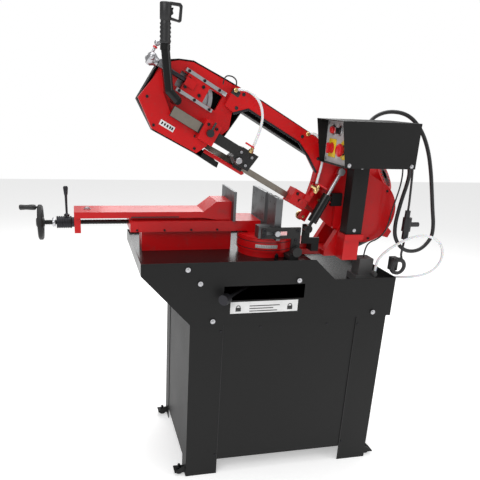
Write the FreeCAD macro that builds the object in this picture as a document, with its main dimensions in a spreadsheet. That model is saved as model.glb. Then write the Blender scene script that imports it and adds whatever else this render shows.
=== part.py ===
import FreeCAD, Part
import math
import os
import re
import Sketcher

# Swivel-head band saw on a cabinet stand, in millimetres, +Z up.
# Layout coordinates start at the cabinet's front left foot: X to the right, Y to the back.
# The bow is drawn level in its own frame, whose zero is the lift pivot, and is then raised to rest_angle.

Vector = FreeCAD.Vector
doc = FreeCAD.newDocument("BandSaw")
dims = doc.addObject("Spreadsheet::Sheet", "Dims")
aliases = []
pieces = []


def sizes(**cells):
    """Write each named size into the sheet, with its name as the cell's alias."""
    for name, number in cells.items():
        aliases.append(name)
        row = len(aliases)
        dims.set(f"A{row}", name)
        dims.set(f"B{row}", str(number))
        dims.setAlias(f"B{row}", name)


sizes(origin_x=139.81, origin_y=173.0, fit_gap=0.3, bore_gap=0.05)
# cabinet
sizes(cabinet_width=700, cabinet_depth=462, cabinet_top=588, sheet=2, leg_width=113, leg_return=70,
      leg_lap=8, front_gap=59, side_gap=40)
# levelling feet on the cabinet's corners
sizes(bracket_reach=38, bracket_width=40, bracket_level=14, bracket_thick=4, bracket_rise=30,
      foot_screw=5, foot_pad=12, foot_pad_thick=6, foot_screw_top=34, bracket_inset=6)
# coolant tray: shallow deck, chip slope and low well
sizes(tray_left=158, tray_right=15, deck_level=785, rim_level=797, lip_level=758, slope_start=414,
      slope_end=490, well_rim=727, well_floor=700, well_base=595, wall=2)
# slot of the swivel lock lever in the front apron
sizes(slot_left=108, slot_right=384, slot_low=667, slot_high=716, lock_knob=17, lock_arm=6,
      lock_level=684, lock_reach=256, lock_angle=-133)
# round table base and swivel
sizes(table_x=288, table_y=165, base_radius=92, ring_radius=96, post_radius=45, ring_low=803,
      ring_high=846, table_radius=92, table_low=846.6, table_high=850, bed_level=890, bed_thick=35,
      swivel_plate_low=788, swivel_plate_high=806, swivel_plate_end=590, swivel_front=100,
      swivel_back=235)
# vise
sizes(bed_left=-172, bed_front=172, bed_rear=300, bed_right=272, jaw_plane=277, jaw_top=990,
      jaw_thick=9, jaw_rib=14, front_jaw_front=45, front_jaw_rear=120, rear_jaw_front=155,
      moving_jaw=178, jaw_opening=99, slide_left=-349, slide_front=184, slide_rear=296,
      slide_low=899, slide_high=919, screw_level=876, screw_line=240, screw_radius=8, wheel_x=-455,
      wheel_radius=57, wheel_rim=7, crank_length=52, crank_radius=9, clamp_x=-372, clamp_radius=20)
# bow
sizes(pivot_x=548, pivot_z=893, rest_angle=28.3, pin_radius=12, boss_radius=24, band_line=137,
      band_width=20, band_thick=0.9, blade_level=-16.3, wheel_diameter=180, wheel_level=74,
      drive_u=50, idler_u=-680, wheel_face=24, casting_front=100, casting_back=112,
      cover_back=164, beam_front=84, housing_radius=108, housing_back=158, plate_back=168)


def value(expression):
    return float(dims.evalExpression(expression))


def qualified(expression):
    return re.sub(r"\b[a-z][a-z_]*\b", lambda word: "Dims." + word[0] if word[0] in aliases else word[0],
                  str(expression))


def bind(target, **expressions):
    for name, expression in expressions.items():
        target.setExpression(name.replace("__", "."), qualified(expression))


def place(target, x, y, z):
    bind(target, Placement__Base__x=x, Placement__Base__y=y, Placement__Base__z=z)
    return target


def box(x_low, x_high, y_low, y_high, z_low, z_high):
    block = doc.addObject("Part::Box", "Block")
    bind(block, Length=f"({x_high}) - ({x_low})", Width=f"({y_high}) - ({y_low})",
         Height=f"({z_high}) - ({z_low})")
    return place(block, x_low, y_low, z_low)


TURNS = {"X": (Vector(0, 1, 0), 90), "Y": (Vector(1, 0, 0), -90), "Z": (Vector(0, 0, 1), 0)}


def rod(axis, x, y, z, radius, length, end_radius=None):
    """A round bar from (x, y, z) along +axis; with end_radius, a cone."""
    if end_radius is None:
        bar = doc.addObject("Part::Cylinder", "Rod")
        bind(bar, Radius=radius)
    else:
        bar = doc.addObject("Part::Cone", "Taper")
        bind(bar, Radius1=radius, Radius2=end_radius)
    bind(bar, Height=length)
    turn_axis, angle = TURNS[axis]
    bar.Placement = FreeCAD.Placement(Vector(), FreeCAD.Rotation(turn_axis, angle))
    return place(bar, x, y, z)


def bar_between(u_start, w_start, u_end, w_end, y, radius):
    """A round bar in the plane Y = y, from one point of that plane to another."""
    bar = doc.addObject("Part::Cylinder", "Bar")
    run, rise = f"(({u_end}) - ({u_start}))", f"(({w_end}) - ({w_start}))"
    bind(bar, Radius=radius, Height=f"sqrt({run} ^ 2 + {rise} ^ 2)")
    bar.Placement = FreeCAD.Placement(Vector(), FreeCAD.Rotation(Vector(0, 1, 0), 0))
    bind(bar, Placement__Rotation__Axis__x="0", Placement__Rotation__Axis__y="1",
         Placement__Rotation__Axis__z="0", Placement__Rotation__Angle=f"atan2({run}; {rise})")
    return place(bar, u_start, y, w_start)


def ball(x, y, z, radius):
    sphere = doc.addObject("Part::Sphere", "Ball")
    bind(sphere, Radius=radius)
    return place(sphere, x, y, z)


def fuse(*shapes):
    joined = doc.addObject("Part::MultiFuse", "Joined")
    joined.Shapes = list(shapes)
    joined.Refine = True
    return joined


def cut(base, *tools):
    for tool in tools:
        result = doc.addObject("Part::Cut", "Cut")
        result.Base = base
        result.Tool = tool
        base = result
    return base


def ring(axis, x, y, z, outer, inner, length):
    return cut(rod(axis, x, y, z, outer, length), rod(axis, x, y, z, inner, length))


PLANES = {"XZ": ("XZ_Plane", "y"), "XY": ("XY_Plane", "z"), "YZ": ("YZ_Plane", "x")}


def prism(plane, low, high, points):
    """A body padded from low to high, square to the plane, over a closed outline of points."""
    role, across = PLANES[plane]
    body = doc.addObject("PartDesign::Body", "Profile")
    sketch = body.newObject("Sketcher::SketchObject", "Outline")
    origin_plane = next(part for part in body.Origin.OriginFeatures if part.Role == role)
    sketch.AttachmentSupport = [(origin_plane, "")]
    sketch.MapMode = "FlatFace"
    corners = [Vector(value(first), value(second), 0) for first, second in points]
    count = len(corners)
    for index in range(count):
        sketch.addGeometry(Part.LineSegment(corners[index], corners[(index + 1) % count]), False)
    for index in range(count):
        sketch.addConstraint(Sketcher.Constraint("Coincident", index, 2, (index + 1) % count, 1))
    for index, point in enumerate(points):
        for kind, expression, number in zip(("DistanceX", "DistanceY"), point, corners[index]):
            spot = sketch.addConstraint(Sketcher.Constraint(kind, -1, 1, index, 1, number))
            sketch.setExpression(f"Constraints[{spot}]", qualified(expression))
    pad = body.newObject("PartDesign::Pad", "Pad")
    pad.Profile = sketch
    pad.Reversed = plane == "XZ"
    bind(pad, Length=f"({high}) - ({low})")
    bind(body, **{f"Placement__Base__{across}": low})
    return body


def piece(label, *solids, home="floor"):
    """A sub-part: its solids, moved from the layout, bow or handle frame into the saw's own frame."""
    part = doc.addObject("Part::Compound", "Piece")
    part.Label = label
    part.Links = list(solids)
    part.Placement = FreeCAD.Placement(Vector(), FreeCAD.Rotation(Vector(0, 1, 0), 0))
    x, z, angle = {
        "floor": ("0", "0", "0"),
        "bow": ("pivot_x", "pivot_z", "rest_angle"),
        "handle": ("pivot_x + handle_u * cos(rest_angle) + handle_w * sin(rest_angle)",
                   "pivot_z - handle_u * sin(rest_angle) + handle_w * cos(rest_angle)",
                   "rest_angle - handle_lean")}[home]
    bind(part, Placement__Rotation__Axis__x="0", Placement__Rotation__Axis__y="1",
         Placement__Rotation__Axis__z="0", Placement__Rotation__Angle=angle)
    place(part, f"{x} - origin_x", "-origin_y", z)
    pieces.append(part)
    return part


# ---------------------------------------------------------------- cabinet
def cabinet():
    def leg(mirror_x, mirror_y):
        x_out = "cabinet_width" if mirror_x else "0"
        y_out = "cabinet_depth" if mirror_y else "0"
        x_sign, y_sign = ("-1" if mirror_x else "1"), ("-1" if mirror_y else "1")
        low_x, high_x = f"{x_out} + {x_sign} * leg_width", x_out
        low_y, high_y = f"{y_out} + {y_sign} * leg_return", y_out
        if not mirror_x:
            low_x, high_x = high_x, low_x
        if not mirror_y:
            low_y, high_y = high_y, low_y
        flange = (f"{high_y} - sheet", high_y) if mirror_y else (low_y, f"{low_y} + sheet")
        web = (f"{high_x} - sheet", high_x) if mirror_x else (low_x, f"{low_x} + sheet")
        return fuse(box(low_x, high_x, *flange, "0", "cabinet_top"),
                    box(*web, low_y, high_y, "0", "cabinet_top"))

    piece("cabinet_legs", *[leg(right, back) for right in (False, True) for back in (False, True)])
    span = ("leg_width - leg_lap", "cabinet_width - leg_width + leg_lap")
    depth = ("leg_return - leg_lap", "cabinet_depth - leg_return + leg_lap")
    piece("cabinet_panels",
          box(*span, "sheet", "2 * sheet", "front_gap", "cabinet_top"),
          box(*span, "cabinet_depth - 2 * sheet", "cabinet_depth - sheet", "front_gap", "cabinet_top"),
          box("sheet", "2 * sheet", *depth, "side_gap", "cabinet_top"),
          box("cabinet_width - 2 * sheet", "cabinet_width - sheet", *depth, "side_gap", "cabinet_top"))
    feet = []
    for side, wall_x in ((-1, "0"), (1, "cabinet_width")):
        for start in ("bracket_inset", "cabinet_depth - bracket_inset - bracket_width"):
            reach = f"{wall_x} + {side} * bracket_reach"
            ends = (reach, wall_x) if side < 0 else (wall_x, reach)
            seat = box(*ends, start, f"{start} + bracket_width", "bracket_level",
                       "bracket_level + bracket_thick")
            web = prism("XZ", start, f"{start} + bracket_thick",
                        [(wall_x, "bracket_level"), (reach, "bracket_level"),
                         (reach, "bracket_level + bracket_thick"),
                         (wall_x, "bracket_level + bracket_rise")])
            screw_x, screw_y = f"{wall_x} + {side} * bracket_reach / 2", f"{start} + bracket_width * 0.6"
            bore = rod("Z", screw_x, screw_y, "0", "foot_screw + bore_gap", "foot_screw_top")
            feet.append(cut(fuse(seat, web), bore))
            feet.append(fuse(rod("Z", screw_x, screw_y, "0", "foot_pad", "foot_pad_thick"),
                             rod("Z", screw_x, screw_y, "0", "foot_screw", "foot_screw_top")))
    piece("levelling_feet", *feet)


# ---------------------------------------------------------------- tray
def tray():
    outline = [("-tray_left", "rim_level"), ("-tray_left", "lip_level"), ("0", "cabinet_top"),
               ("cabinet_width + tray_right", "cabinet_top"), ("cabinet_width + tray_right", "well_rim"),
               ("slope_end", "well_rim"), ("slope_start", "rim_level")]
    back = "cabinet_depth"
    right = "cabinet_width + tray_right"
    slot = box("slot_left", "slot_right", "-2 * wall", "wall", "slot_low", "slot_high")
    piece("front_apron", cut(prism("XZ", "-wall", "0", outline), slot))
    deck = box("-tray_left", "slope_start", "0", back, "deck_level - wall", "deck_level")
    slope = prism("XZ", "0", back, [("slope_start", "deck_level"), ("slope_start", "deck_level - wall"),
                                    ("slope_end", "well_floor - wall"), ("slope_end", "well_floor")])
    well = box("slope_end", right, "0", back, "well_floor - wall", "well_floor")
    left = box("-tray_left", "-tray_left + wall", "0", back, "lip_level", "rim_level")
    end = box(f"{right} - wall", right, "0", back, "cabinet_top", "well_rim")
    under = prism("XZ", "0", back, [("-tray_left", "lip_level"), ("0", "cabinet_top"),
                                    ("wall * 1.6", "cabinet_top"), ("wall * 1.6 - tray_left", "lip_level")])
    base = box("0", right, "0", back, "cabinet_top", "cabinet_top + wall")
    rear = prism("XZ", back, "cabinet_depth + wall", outline)
    piece("coolant_tray", fuse(deck, slope, well, left, end, under, base, rear))


# ---------------------------------------------------------------- table, vise and stop
def table():
    disc = rod("Z", "table_x", "table_y", "deck_level", "base_radius", "ring_low - fit_gap - deck_level")
    post = rod("Z", "table_x", "table_y", "deck_level", "post_radius", "table_low - deck_level")
    top = rod("Z", "table_x", "table_y", "table_low", "table_radius", "table_high - table_low")
    piece("table_base", fuse(disc, post, top))
    bed = box("bed_left", "bed_right", "bed_front", "bed_rear", "bed_level - bed_thick", "bed_level")
    rib = box("bed_left + 30", "bed_right - 130", "bed_front + 20", "bed_rear - 20", "table_high",
              "bed_level - bed_thick")
    seat = box("table_x - 60", "bed_right", "bed_front", "table_y + 80", "table_high",
               "bed_level - bed_thick")
    tunnel = rod("X", "bed_left", "screw_line", "screw_level", "screw_radius + fit_gap", "260")
    support = box("bed_left + 40", "table_x - base_radius - 20", "bed_front + 25", "bed_rear - 25",
                  "deck_level", "table_high")
    piece("vise_bed", cut(fuse(bed, rib, seat), tunnel), support)
    jaws = []
    plates = []
    for front, rear, foot in (("rear_jaw_front", "bed_rear", "bed_level"),
                              ("front_jaw_front", "front_jaw_rear", "table_high")):
        plates.append(box("jaw_plane", "jaw_plane + jaw_thick", front, rear, "bed_level", "jaw_top"))
        back_x = "jaw_plane + jaw_thick"
        jaws.append(box(back_x, f"{back_x} + jaw_rib", front, rear, foot, "jaw_top - 4"))
    step = box("bed_right", "jaw_plane + jaw_thick + jaw_rib", "bed_front", "bed_rear", "bed_level - 30",
               "bed_level")
    front_step = box("jaw_plane - 40", "jaw_plane + jaw_thick", "table_y - 84", "front_jaw_rear",
                     "table_high", "bed_level")
    piece("fixed_jaws", fuse(jaws[0], step), fuse(jaws[1], front_step), *plates)


def vise():
    body = box("slide_left", "moving_jaw - jaw_thick - 22", "slide_front", "slide_rear", "slide_low",
               "slide_high")
    keel = box("bed_left + 6", "moving_jaw - 40", "slide_front + 16", "slide_rear - 16",
               "bed_level + fit_gap", "slide_low")
    head = prism("XZ", "slide_front", "slide_rear",
                 [("moving_jaw - 105", "slide_high"), ("moving_jaw - 60", "slide_high + 34"),
                  ("moving_jaw - jaw_thick", "slide_high + 34"), ("moving_jaw - jaw_thick", "bed_level + 1"),
                  ("moving_jaw - 60", "bed_level + 1"), ("moving_jaw - 105", "slide_low")])
    bracket = box("slide_left", "slide_left + 20", "screw_line - 34", "screw_line + 34",
                  "screw_level - 30", "slide_low")
    bore = rod("X", "slide_left - 1", "screw_line", "screw_level", "screw_radius + bore_gap", "22")
    piece("vise_slide", cut(fuse(body, keel, head, bracket), bore))
    piece("movable_jaw", box("moving_jaw - jaw_thick", "moving_jaw", "rear_jaw_front + 1", "320", "bed_level + 1",
                             "jaw_top"))
    collar = ring("X", "slide_left - 8", "screw_line", "screw_level", "clamp_radius - 4",
                  "screw_radius + bore_gap", "8")
    piece("vise_clamp", ring("X", "slide_left - 56", "screw_line", "screw_level", "clamp_radius",
                             "screw_radius + bore_gap", "48"), collar)
    lever_z = "screw_level + clamp_radius + fit_gap"
    piece("vise_lever", fuse(rod("Z", "clamp_x", "screw_line", lever_z, "9", "6"),
                             rod("Z", "clamp_x", "screw_line", lever_z, "4", "92"),
                             rod("Z", "clamp_x", "screw_line", f"{lever_z} + 70", "6", "26", "8")))
    screw = rod("X", "wheel_x - 16", "screw_line", "screw_level", "screw_radius", "440")
    rim = ring("X", "wheel_x - wheel_rim", "screw_line", "screw_level", "wheel_radius",
               "wheel_radius - 14", "2 * wheel_rim")
    hub = rod("X", "wheel_x - 14", "screw_line", "screw_level", "16", "26")
    spokes = []
    for turn in range(3):
        angle = 120 * turn + 90
        spoke = box("wheel_x - 4", "wheel_x + 4", "screw_line - 6", "screw_line + 6", "screw_level",
                    "screw_level + wheel_radius - 10")
        spin = doc.addObject("Part::Compound", "Spoke")
        spin.Links = [spoke]
        turned = FreeCAD.Rotation(Vector(1, 0, 0), angle)
        centre = Vector(0, value("screw_line"), value("screw_level"))
        spin.Placement = FreeCAD.Placement(centre - turned.multVec(centre), turned)
        spokes.append(spin)
    pin = rod("X", "wheel_x - 60", "screw_line", "screw_level + wheel_radius - 8", "3.5", "60")
    piece("handwheel", fuse(screw, rim, hub, pin, *spokes))
    piece("crank_handle", ring("X", "wheel_x - 12 - crank_length", "screw_line",
                               "screw_level + wheel_radius - 8", "crank_radius", "3.5 + bore_gap",
                               "crank_length"))


def lock_lever():
    angle = math.radians(value("lock_angle"))
    arm = rod("X", "0", "0", "0", "lock_arm", "lock_reach")
    grip = rod("X", "lock_reach", "0", "0", "lock_knob", "26")
    hub = rod("Z", "0", "0", "-12", "20", "24")
    lever = doc.addObject("Part::Compound", "Lever")
    lever.Links = [fuse(arm, grip, hub)]
    lever.Placement = FreeCAD.Placement(Vector(), FreeCAD.Rotation(Vector(0, 0, 1), math.degrees(angle)))
    place(lever, "table_x", "table_y", "lock_level")
    bolt = rod("Z", "table_x", "table_y", "lock_level + 12", "14",
               "deck_level - wall - fit_gap - lock_level - 12")
    piece("swivel_lock_lever", lever, bolt)


# ---------------------------------------------------------------- swivel, column and controls
def swivel():
    collar = rod("Z", "table_x", "table_y", "ring_low", "ring_radius", "ring_high - ring_low")
    foot = prism("XY", "swivel_plate_low", "swivel_plate_high",
                 [("table_x + base_radius + 6", "swivel_front"), ("swivel_plate_end", "swivel_front"),
                  ("swivel_plate_end", "swivel_back"), ("table_x + base_radius + 6", "swivel_back")])
    neck = box("table_x", "table_x + base_radius + 90", "swivel_front + 15", "swivel_back - 10",
               "ring_low + 1", "ring_high - 24")
    bore = rod("Z", "table_x", "table_y", "ring_low - 20", "post_radius + bore_gap", "100")
    ears = []
    for near, far in (("casting_front - fit_gap - 26", "casting_front - fit_gap"),
                      ("plate_back + 8 + fit_gap", "plate_back + 8 + fit_gap + 24")):
        upright = prism("XZ", near, far,
                        [("pivot_x - 75", "swivel_plate_high - 3"), ("pivot_x + 42", "swivel_plate_high - 3"),
                         ("pivot_x + boss_radius", "pivot_z"), ("pivot_x - boss_radius", "pivot_z")])
        ears += [upright, rod("Y", "pivot_x", near, "pivot_z", "boss_radius", f"({far}) - ({near})")]
    ears.append(box("pivot_x - 48", "pivot_x - 22", "switch_front", "casting_front - 3", "pivot_z - 13",
                    "switch_base"))
    toe = box("pivot_x - 75", "swivel_plate_end", "casting_front - fit_gap - 26", "swivel_front",
              "swivel_plate_low", "swivel_plate_high")
    shelf = box("column_x - 6", "column_x + column_width + 6", "column_front - 6",
                "column_front + column_depth", "column_base - shelf_thick", "column_base")
    gusset = box("column_x", "column_x + column_width", "column_front + 8", "casting_front - fit_gap - 8",
                 "swivel_plate_low", "column_base - shelf_thick + 1")
    holes = [rod("Y", "pivot_x", "casting_front - 40", "pivot_z", "pin_radius", "200")]
    arm = cut(fuse(collar, foot, neck, toe, shelf, gusset, *ears), bore, *holes)
    piece("swivel_arm", arm)
    ear_face = "casting_front - fit_gap - 26"
    front_pin = fuse(rod("Y", "pivot_x", ear_face, "pivot_z", "pin_radius", f"casting_back - ({ear_face})"),
                     rod("Y", "pivot_x", f"{ear_face} - head_thick", "pivot_z", "pin_radius + head_reach",
                         "head_thick"))
    rear_pin = rod("Y", "pivot_x", "housing_back + 3", "pivot_z", "pin_radius",
                   "plate_back + 8 + fit_gap + 30 - housing_back - 3")
    piece("pivot_pins", front_pin, rear_pin)
    tube = cut(box("column_x", "column_x + column_width", "column_front", "column_front + column_depth",
                   "column_base", "box_low"),
               box("column_x + column_wall", "column_x + column_width - column_wall",
                   "column_front + column_wall", "column_front + column_depth - column_wall",
                   "column_base - 1", "box_low + 1"))
    piece("column", tube)
    hood = prism("XZ", "box_front", "box_back",
                 [("box_left + box_slant", "box_low"), ("box_right", "box_low"),
                  ("box_right", "box_high"), ("box_left", "box_high")])
    room = prism("XZ", "box_front + wall", "box_back - wall",
                 [("box_left - 40", "box_low + wall"), ("box_right - wall", "box_low + wall"),
                  ("box_right - wall", "box_high - wall"), ("box_left - 40", "box_high - wall")])
    piece("control_box", cut(hood, room))
    recess = "box_left + box_slant + panel_recess"
    panel = box(recess, f"{recess} + wall", "box_front + wall + fit_gap", "box_back - wall - fit_gap",
                "box_low + wall + fit_gap", "box_high - wall - fit_gap")
    seats = []
    for y, z, radius in CONTROLS.values():
        seats.append(rod("X", f"{recess} - 1", y, z, f"{radius} * 0.55 + bore_gap", "wall + 2"))
    piece("control_panel", cut(panel, *seats))
    for label, (y, z, radius) in CONTROLS.items():
        start, head = CONTROL_HEADS[label]
        stem = rod("X", f"{recess} - {start}", y, z, f"{radius} * 0.55", f"{start} + wall + 14")
        cap = rod("X", f"{recess} - {start} - {head}", y, z, radius, head)
        piece(label, fuse(stem, cap))


CONTROLS = {
    "start_button": ("-84", "1203", "11"),
    "stop_button": ("16", "1203", "11"),
    "selector_knob": ("-28", "1203", "10"),
    "main_switch": ("14", "1150", "17"),
    "emergency_stop": ("-66", "1150", "19")}
CONTROL_HEADS = {"start_button": ("6", "6"), "stop_button": ("6", "6"), "selector_knob": ("3", "14"),
                 "main_switch": ("3", "18"), "emergency_stop": ("9", "15")}

sizes(column_x=514, column_width=54, column_front=10, column_depth=48, column_wall=3, column_base=877,
      shelf_thick=18, box_left=396, box_slant=22, box_right=645, box_low=1104, box_high=1234,
      box_front=-118, box_back=66, panel_recess=16, switch_front=84.5, switch_base=956,
      switch_height=42, head_reach=10, head_thick=6)


# ---------------------------------------------------------------- linkages between swivel and bow
sizes(lift_foot_x=402, lift_foot_z=884, lift_eye_u=-129, lift_eye_w=132, lift_y=66, lift_radius=16,
      lift_barrel=126, lift_insert=30, lift_rod_radius=6, spring_foot_x=604, spring_foot_z=776,
      spring_eye_u=201, spring_eye_w=52, spring_y=196, spring_radius=17, spring_barrel=122,
      spring_insert=70, spring_rod_radius=4, eye_radius=14, eye_half=7, eye_pin=6, neck_length=26,
      neck_radius=5.5)


def linkage(name, barrel_label, rod_label):
    """A barrel hinged on the swivel, and a rod that ends in an eye beside the bow's lug."""
    foot = (f"{name}_foot_x", f"{name}_foot_z")
    eye_x = f"(pivot_x + {name}_eye_u * cos(rest_angle) + {name}_eye_w * sin(rest_angle))"
    eye_z = f"(pivot_z - {name}_eye_u * sin(rest_angle) + {name}_eye_w * cos(rest_angle))"
    reach = f"sqrt(({eye_x} - {foot[0]}) ^ 2 + ({eye_z} - {foot[1]}) ^ 2)"

    def along(distance):
        share = f"(({distance}) / {reach})"
        return f"{foot[0]} + ({eye_x} - {foot[0]}) * {share}", f"{foot[1]} + ({eye_z} - {foot[1]}) * {share}"

    start, finish = along("neck_length"), along(f"{name}_barrel")
    mouth = along(f"{name}_barrel - {name}_insert")
    y = f"{name}_y"
    eye = rod("Y", foot[0], f"{y} - eye_half", foot[1], "eye_radius", "2 * eye_half")
    neck = bar_between(*along("eye_radius - 4"), *along("neck_length + 1"), y, "neck_radius")
    eye_bore = rod("Y", foot[0], f"{y} - eye_half - 1", foot[1], "eye_pin + bore_gap", "2 * eye_half + 2")
    bore = bar_between(*along("neck_length + 2"), *along(f"{name}_barrel + 1"), y,
                       f"{name}_rod_radius + fit_gap")
    piece(barrel_label, cut(fuse(eye, neck, bar_between(*start, *finish, y, f"{name}_radius")), eye_bore, bore))
    top_eye = rod("Y", eye_x, f"{y} - eye_half", eye_z, "eye_radius - 2", "2 * eye_half")
    shank = bar_between(*mouth, eye_x, eye_z, y, f"{name}_rod_radius")
    piece(rod_label, fuse(shank, top_eye))


def linkages():
    linkage("lift", "lift_cylinder", "lift_rod")
    linkage("spring", "balance_spring", "balance_rod")
    lift_plate = "lift_y + eye_half + fit_gap"
    post = ("lift_foot_x + 22", "lift_foot_x + 48")
    lift_bracket = fuse(
        box("lift_foot_x - eye_radius", "lift_foot_x + eye_radius - 2", lift_plate, f"{lift_plate} + 8",
            "lift_foot_z - 46", "lift_foot_z + eye_radius"),
        rod("Y", "lift_foot_x", "lift_y - eye_half - 2", "lift_foot_z", "eye_pin", "2 * eye_half + 6"),
        box("lift_foot_x - eye_radius", post[1], lift_plate, f"{lift_plate} + 8", "lift_foot_z - 52",
            "lift_foot_z - 32"),
        box(*post, lift_plate, "swivel_front + 15", "swivel_plate_high", "lift_foot_z - 40"))
    spring_plate = "spring_y + eye_half + fit_gap"
    spring_bracket = fuse(
        box("swivel_plate_end", "spring_foot_x + 10", spring_plate, f"{spring_plate} + 7",
            "spring_foot_z - eye_radius", "spring_foot_z + eye_radius"),
        rod("Y", "spring_foot_x", "spring_y - eye_half - 2", "spring_foot_z", "eye_pin", "2 * eye_half + 6"),
        box("swivel_plate_end", "swivel_plate_end + 8", spring_plate, f"{spring_plate} + 27",
            "spring_foot_z - eye_radius", "swivel_plate_high"))
    switch = box("pivot_x - 64", "pivot_x - 26", "switch_front", "casting_front - 1", "switch_base",
                 "switch_base + switch_height")
    piece("link_brackets", lift_bracket, spring_bracket, switch)


# ---------------------------------------------------------------- bow
sizes(beam_top=182, beam_low=143, beam_left=-531, beam_right=-196, shroud_thick=2, shroud_front=82,
      arm_start=-700, arm_end=-457, arm_low=2, arm_high=33, arm_front=54, arm_back=66, clamp_left=-600,
      clamp_right=-550, tension_w=112, tension_y=92, rail_left=-714, rail_right=-590,
      rail_low=73, rail_high=135, rail_width=10, handle_u=-800, handle_w=152, handle_lean=28.3,
      handle_y=40, grip_radius=16, grip_length=104, tube_radius=12.5, right_guide=-222)


def casting():
    plate = prism("XZ", "casting_front", "casting_back", [
        ("-788", "2"), ("-724", "-52"), ("-572", "-48"), ("-552", "4"), ("-525", "35"), ("-515", "62"),
        ("beam_left", "108"), ("-495", "beam_low - 3"), ("-300", "beam_low"), ("-250", "122"),
        ("beam_right", "92"), ("-186", "62"), ("-176", "18"), ("-158", "18"),
        ("-158", "-6"), ("-60", "-32"),
        ("drive_u", "wheel_level - housing_radius"), ("drive_u", "wheel_level + housing_radius"),
        ("-240", "beam_top"), ("-462", "beam_top"), ("-582", "beam_top - 6"), ("-703", "beam_top - 14"),
        ("-743", "beam_top - 32"), ("-782", "118")])
    beam = prism("XZ", "beam_front", "casting_front", [
        ("-565", "beam_low - 30"), ("beam_left", "108"), ("-495", "beam_low - 3"), ("-300", "beam_low"),
        ("-250", "122"), ("beam_right", "92"), ("-186", "62"), ("-120", "60"), ("-100", "170"),
        ("-240", "beam_top"), ("-565", "beam_top - 4")])
    disc = rod("Y", "drive_u", "casting_front", "wheel_level", "housing_radius", "casting_back - casting_front")
    window = box("idler_u - 42", "idler_u + 100", "casting_front - 1", "casting_back + 1",
                 "rail_low + rail_width + 2", "rail_high - 4")
    boss = rod("Y", "0", "casting_front", "0", "boss_radius", "casting_back - casting_front")
    bore = rod("Y", "0", "casting_front - 1", "0", "pin_radius + bore_gap", "60")
    eye_lug = box("lift_eye_u - 11", "lift_eye_u + 11", "lift_y + eye_half + fit_gap", "casting_front",
                  "lift_eye_w - 13", "lift_eye_w + 14")
    piece("bow_frame", cut(fuse(plate, beam, disc, boss, eye_lug), window, bore), home="bow")
    rim = rod("Y", "drive_u", "casting_back", "wheel_level", "housing_radius", "housing_back - casting_back")
    hollow = rod("Y", "drive_u", "casting_back - 1", "wheel_level", "housing_radius - 4",
                 "housing_back - casting_back + 1")
    mouth = box("-160", "drive_u - 20", "casting_back - 1", "housing_back", "-60", "200")
    back = rod("Y", "drive_u", "housing_back", "wheel_level", "housing_radius", "plate_back - housing_back")
    rear_boss = rod("Y", "0", "housing_back", "0", "boss_radius", "plate_back + 8 - housing_back")
    rear_bore = rod("Y", "0", "housing_back - 1", "0", "pin_radius + bore_gap", "60")
    shaft_hole = rod("Y", "drive_u", "housing_back - 1", "wheel_level", "20", "60")
    tail = prism("XZ", "housing_back", "plate_back", [
        ("drive_u + 60", "wheel_level + 20"), ("drive_u + 60", "wheel_level - 60"),
        ("spring_eye_u + 14", "spring_eye_w - 12"), ("spring_eye_u + 14", "spring_eye_w + 14")])
    lug = rod("Y", "spring_eye_u", "housing_back", "spring_eye_w", "13", "spring_y - eye_half - fit_gap - housing_back")
    piece("drive_housing", cut(fuse(cut(rim, hollow, mouth), back, rear_boss, tail, lug), rear_bore,
                               shaft_hole), home="bow")


def covers():
    outer = [("-797", "-3"), ("-713", "-59"), ("-557", "-54"), ("-485", "-57"), ("-488", "-38"), ("-545", "-30"),
             ("-545", "2"), ("-512", "38"), ("-502", "126"), ("-110", "126"), ("-60", "wheel_level + 108"),
             ("-110", "beam_top + 6"), ("-462", "beam_top + 5"), ("-582", "beam_top"), ("-703", "beam_top - 8"),
             ("-743", "beam_top - 26"), ("-790", "124")]
    inner = [("-794", "0"), ("-712", "-56"), ("-548", "-51"), ("-548", "2"), ("-515", "39"), ("-505", "129"),
             ("-50", "129"), ("-50", "beam_top + 3"), ("-462", "beam_top + 2"), ("-582", "beam_top - 3"),
             ("-702", "beam_top - 11"), ("-741", "beam_top - 29"), ("-787", "123")]
    shell = prism("XZ", "casting_back + fit_gap", "cover_back", outer)
    room = prism("XZ", "casting_back - 2", "cover_back - wall", inner)
    exit_slot = box("-560", "-470", "casting_back - 2", "cover_back - wall", "-40", "4")
    relief = rod("Y", "drive_u", "casting_back - 2", "wheel_level", "housing_radius + fit_gap", "80")
    piece("rear_cover", cut(shell, room, exit_slot, relief), home="bow")
    face = prism("XZ", "shroud_front", "shroud_front + shroud_thick", [
        ("-799", "1"), ("-724", "-55"), ("-572", "-51"), ("-555", "-19"), ("-552", "4"), ("-689", "5"),
        ("-745", "52"), ("-779", "102")])
    foot = prism("XZ", "shroud_front", "casting_front", [
        ("-799", "1"), ("-724", "-55"), ("-572", "-51"), ("-572", "-48.6"), ("-723", "-52.6"), ("-796", "2")])
    side = prism("XZ", "shroud_front", "casting_front", [
        ("-799", "1"), ("-796", "1.4"), ("-777", "102"), ("-779", "102")])
    piece("head_shroud", fuse(face, foot, side), home="bow")


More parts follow.
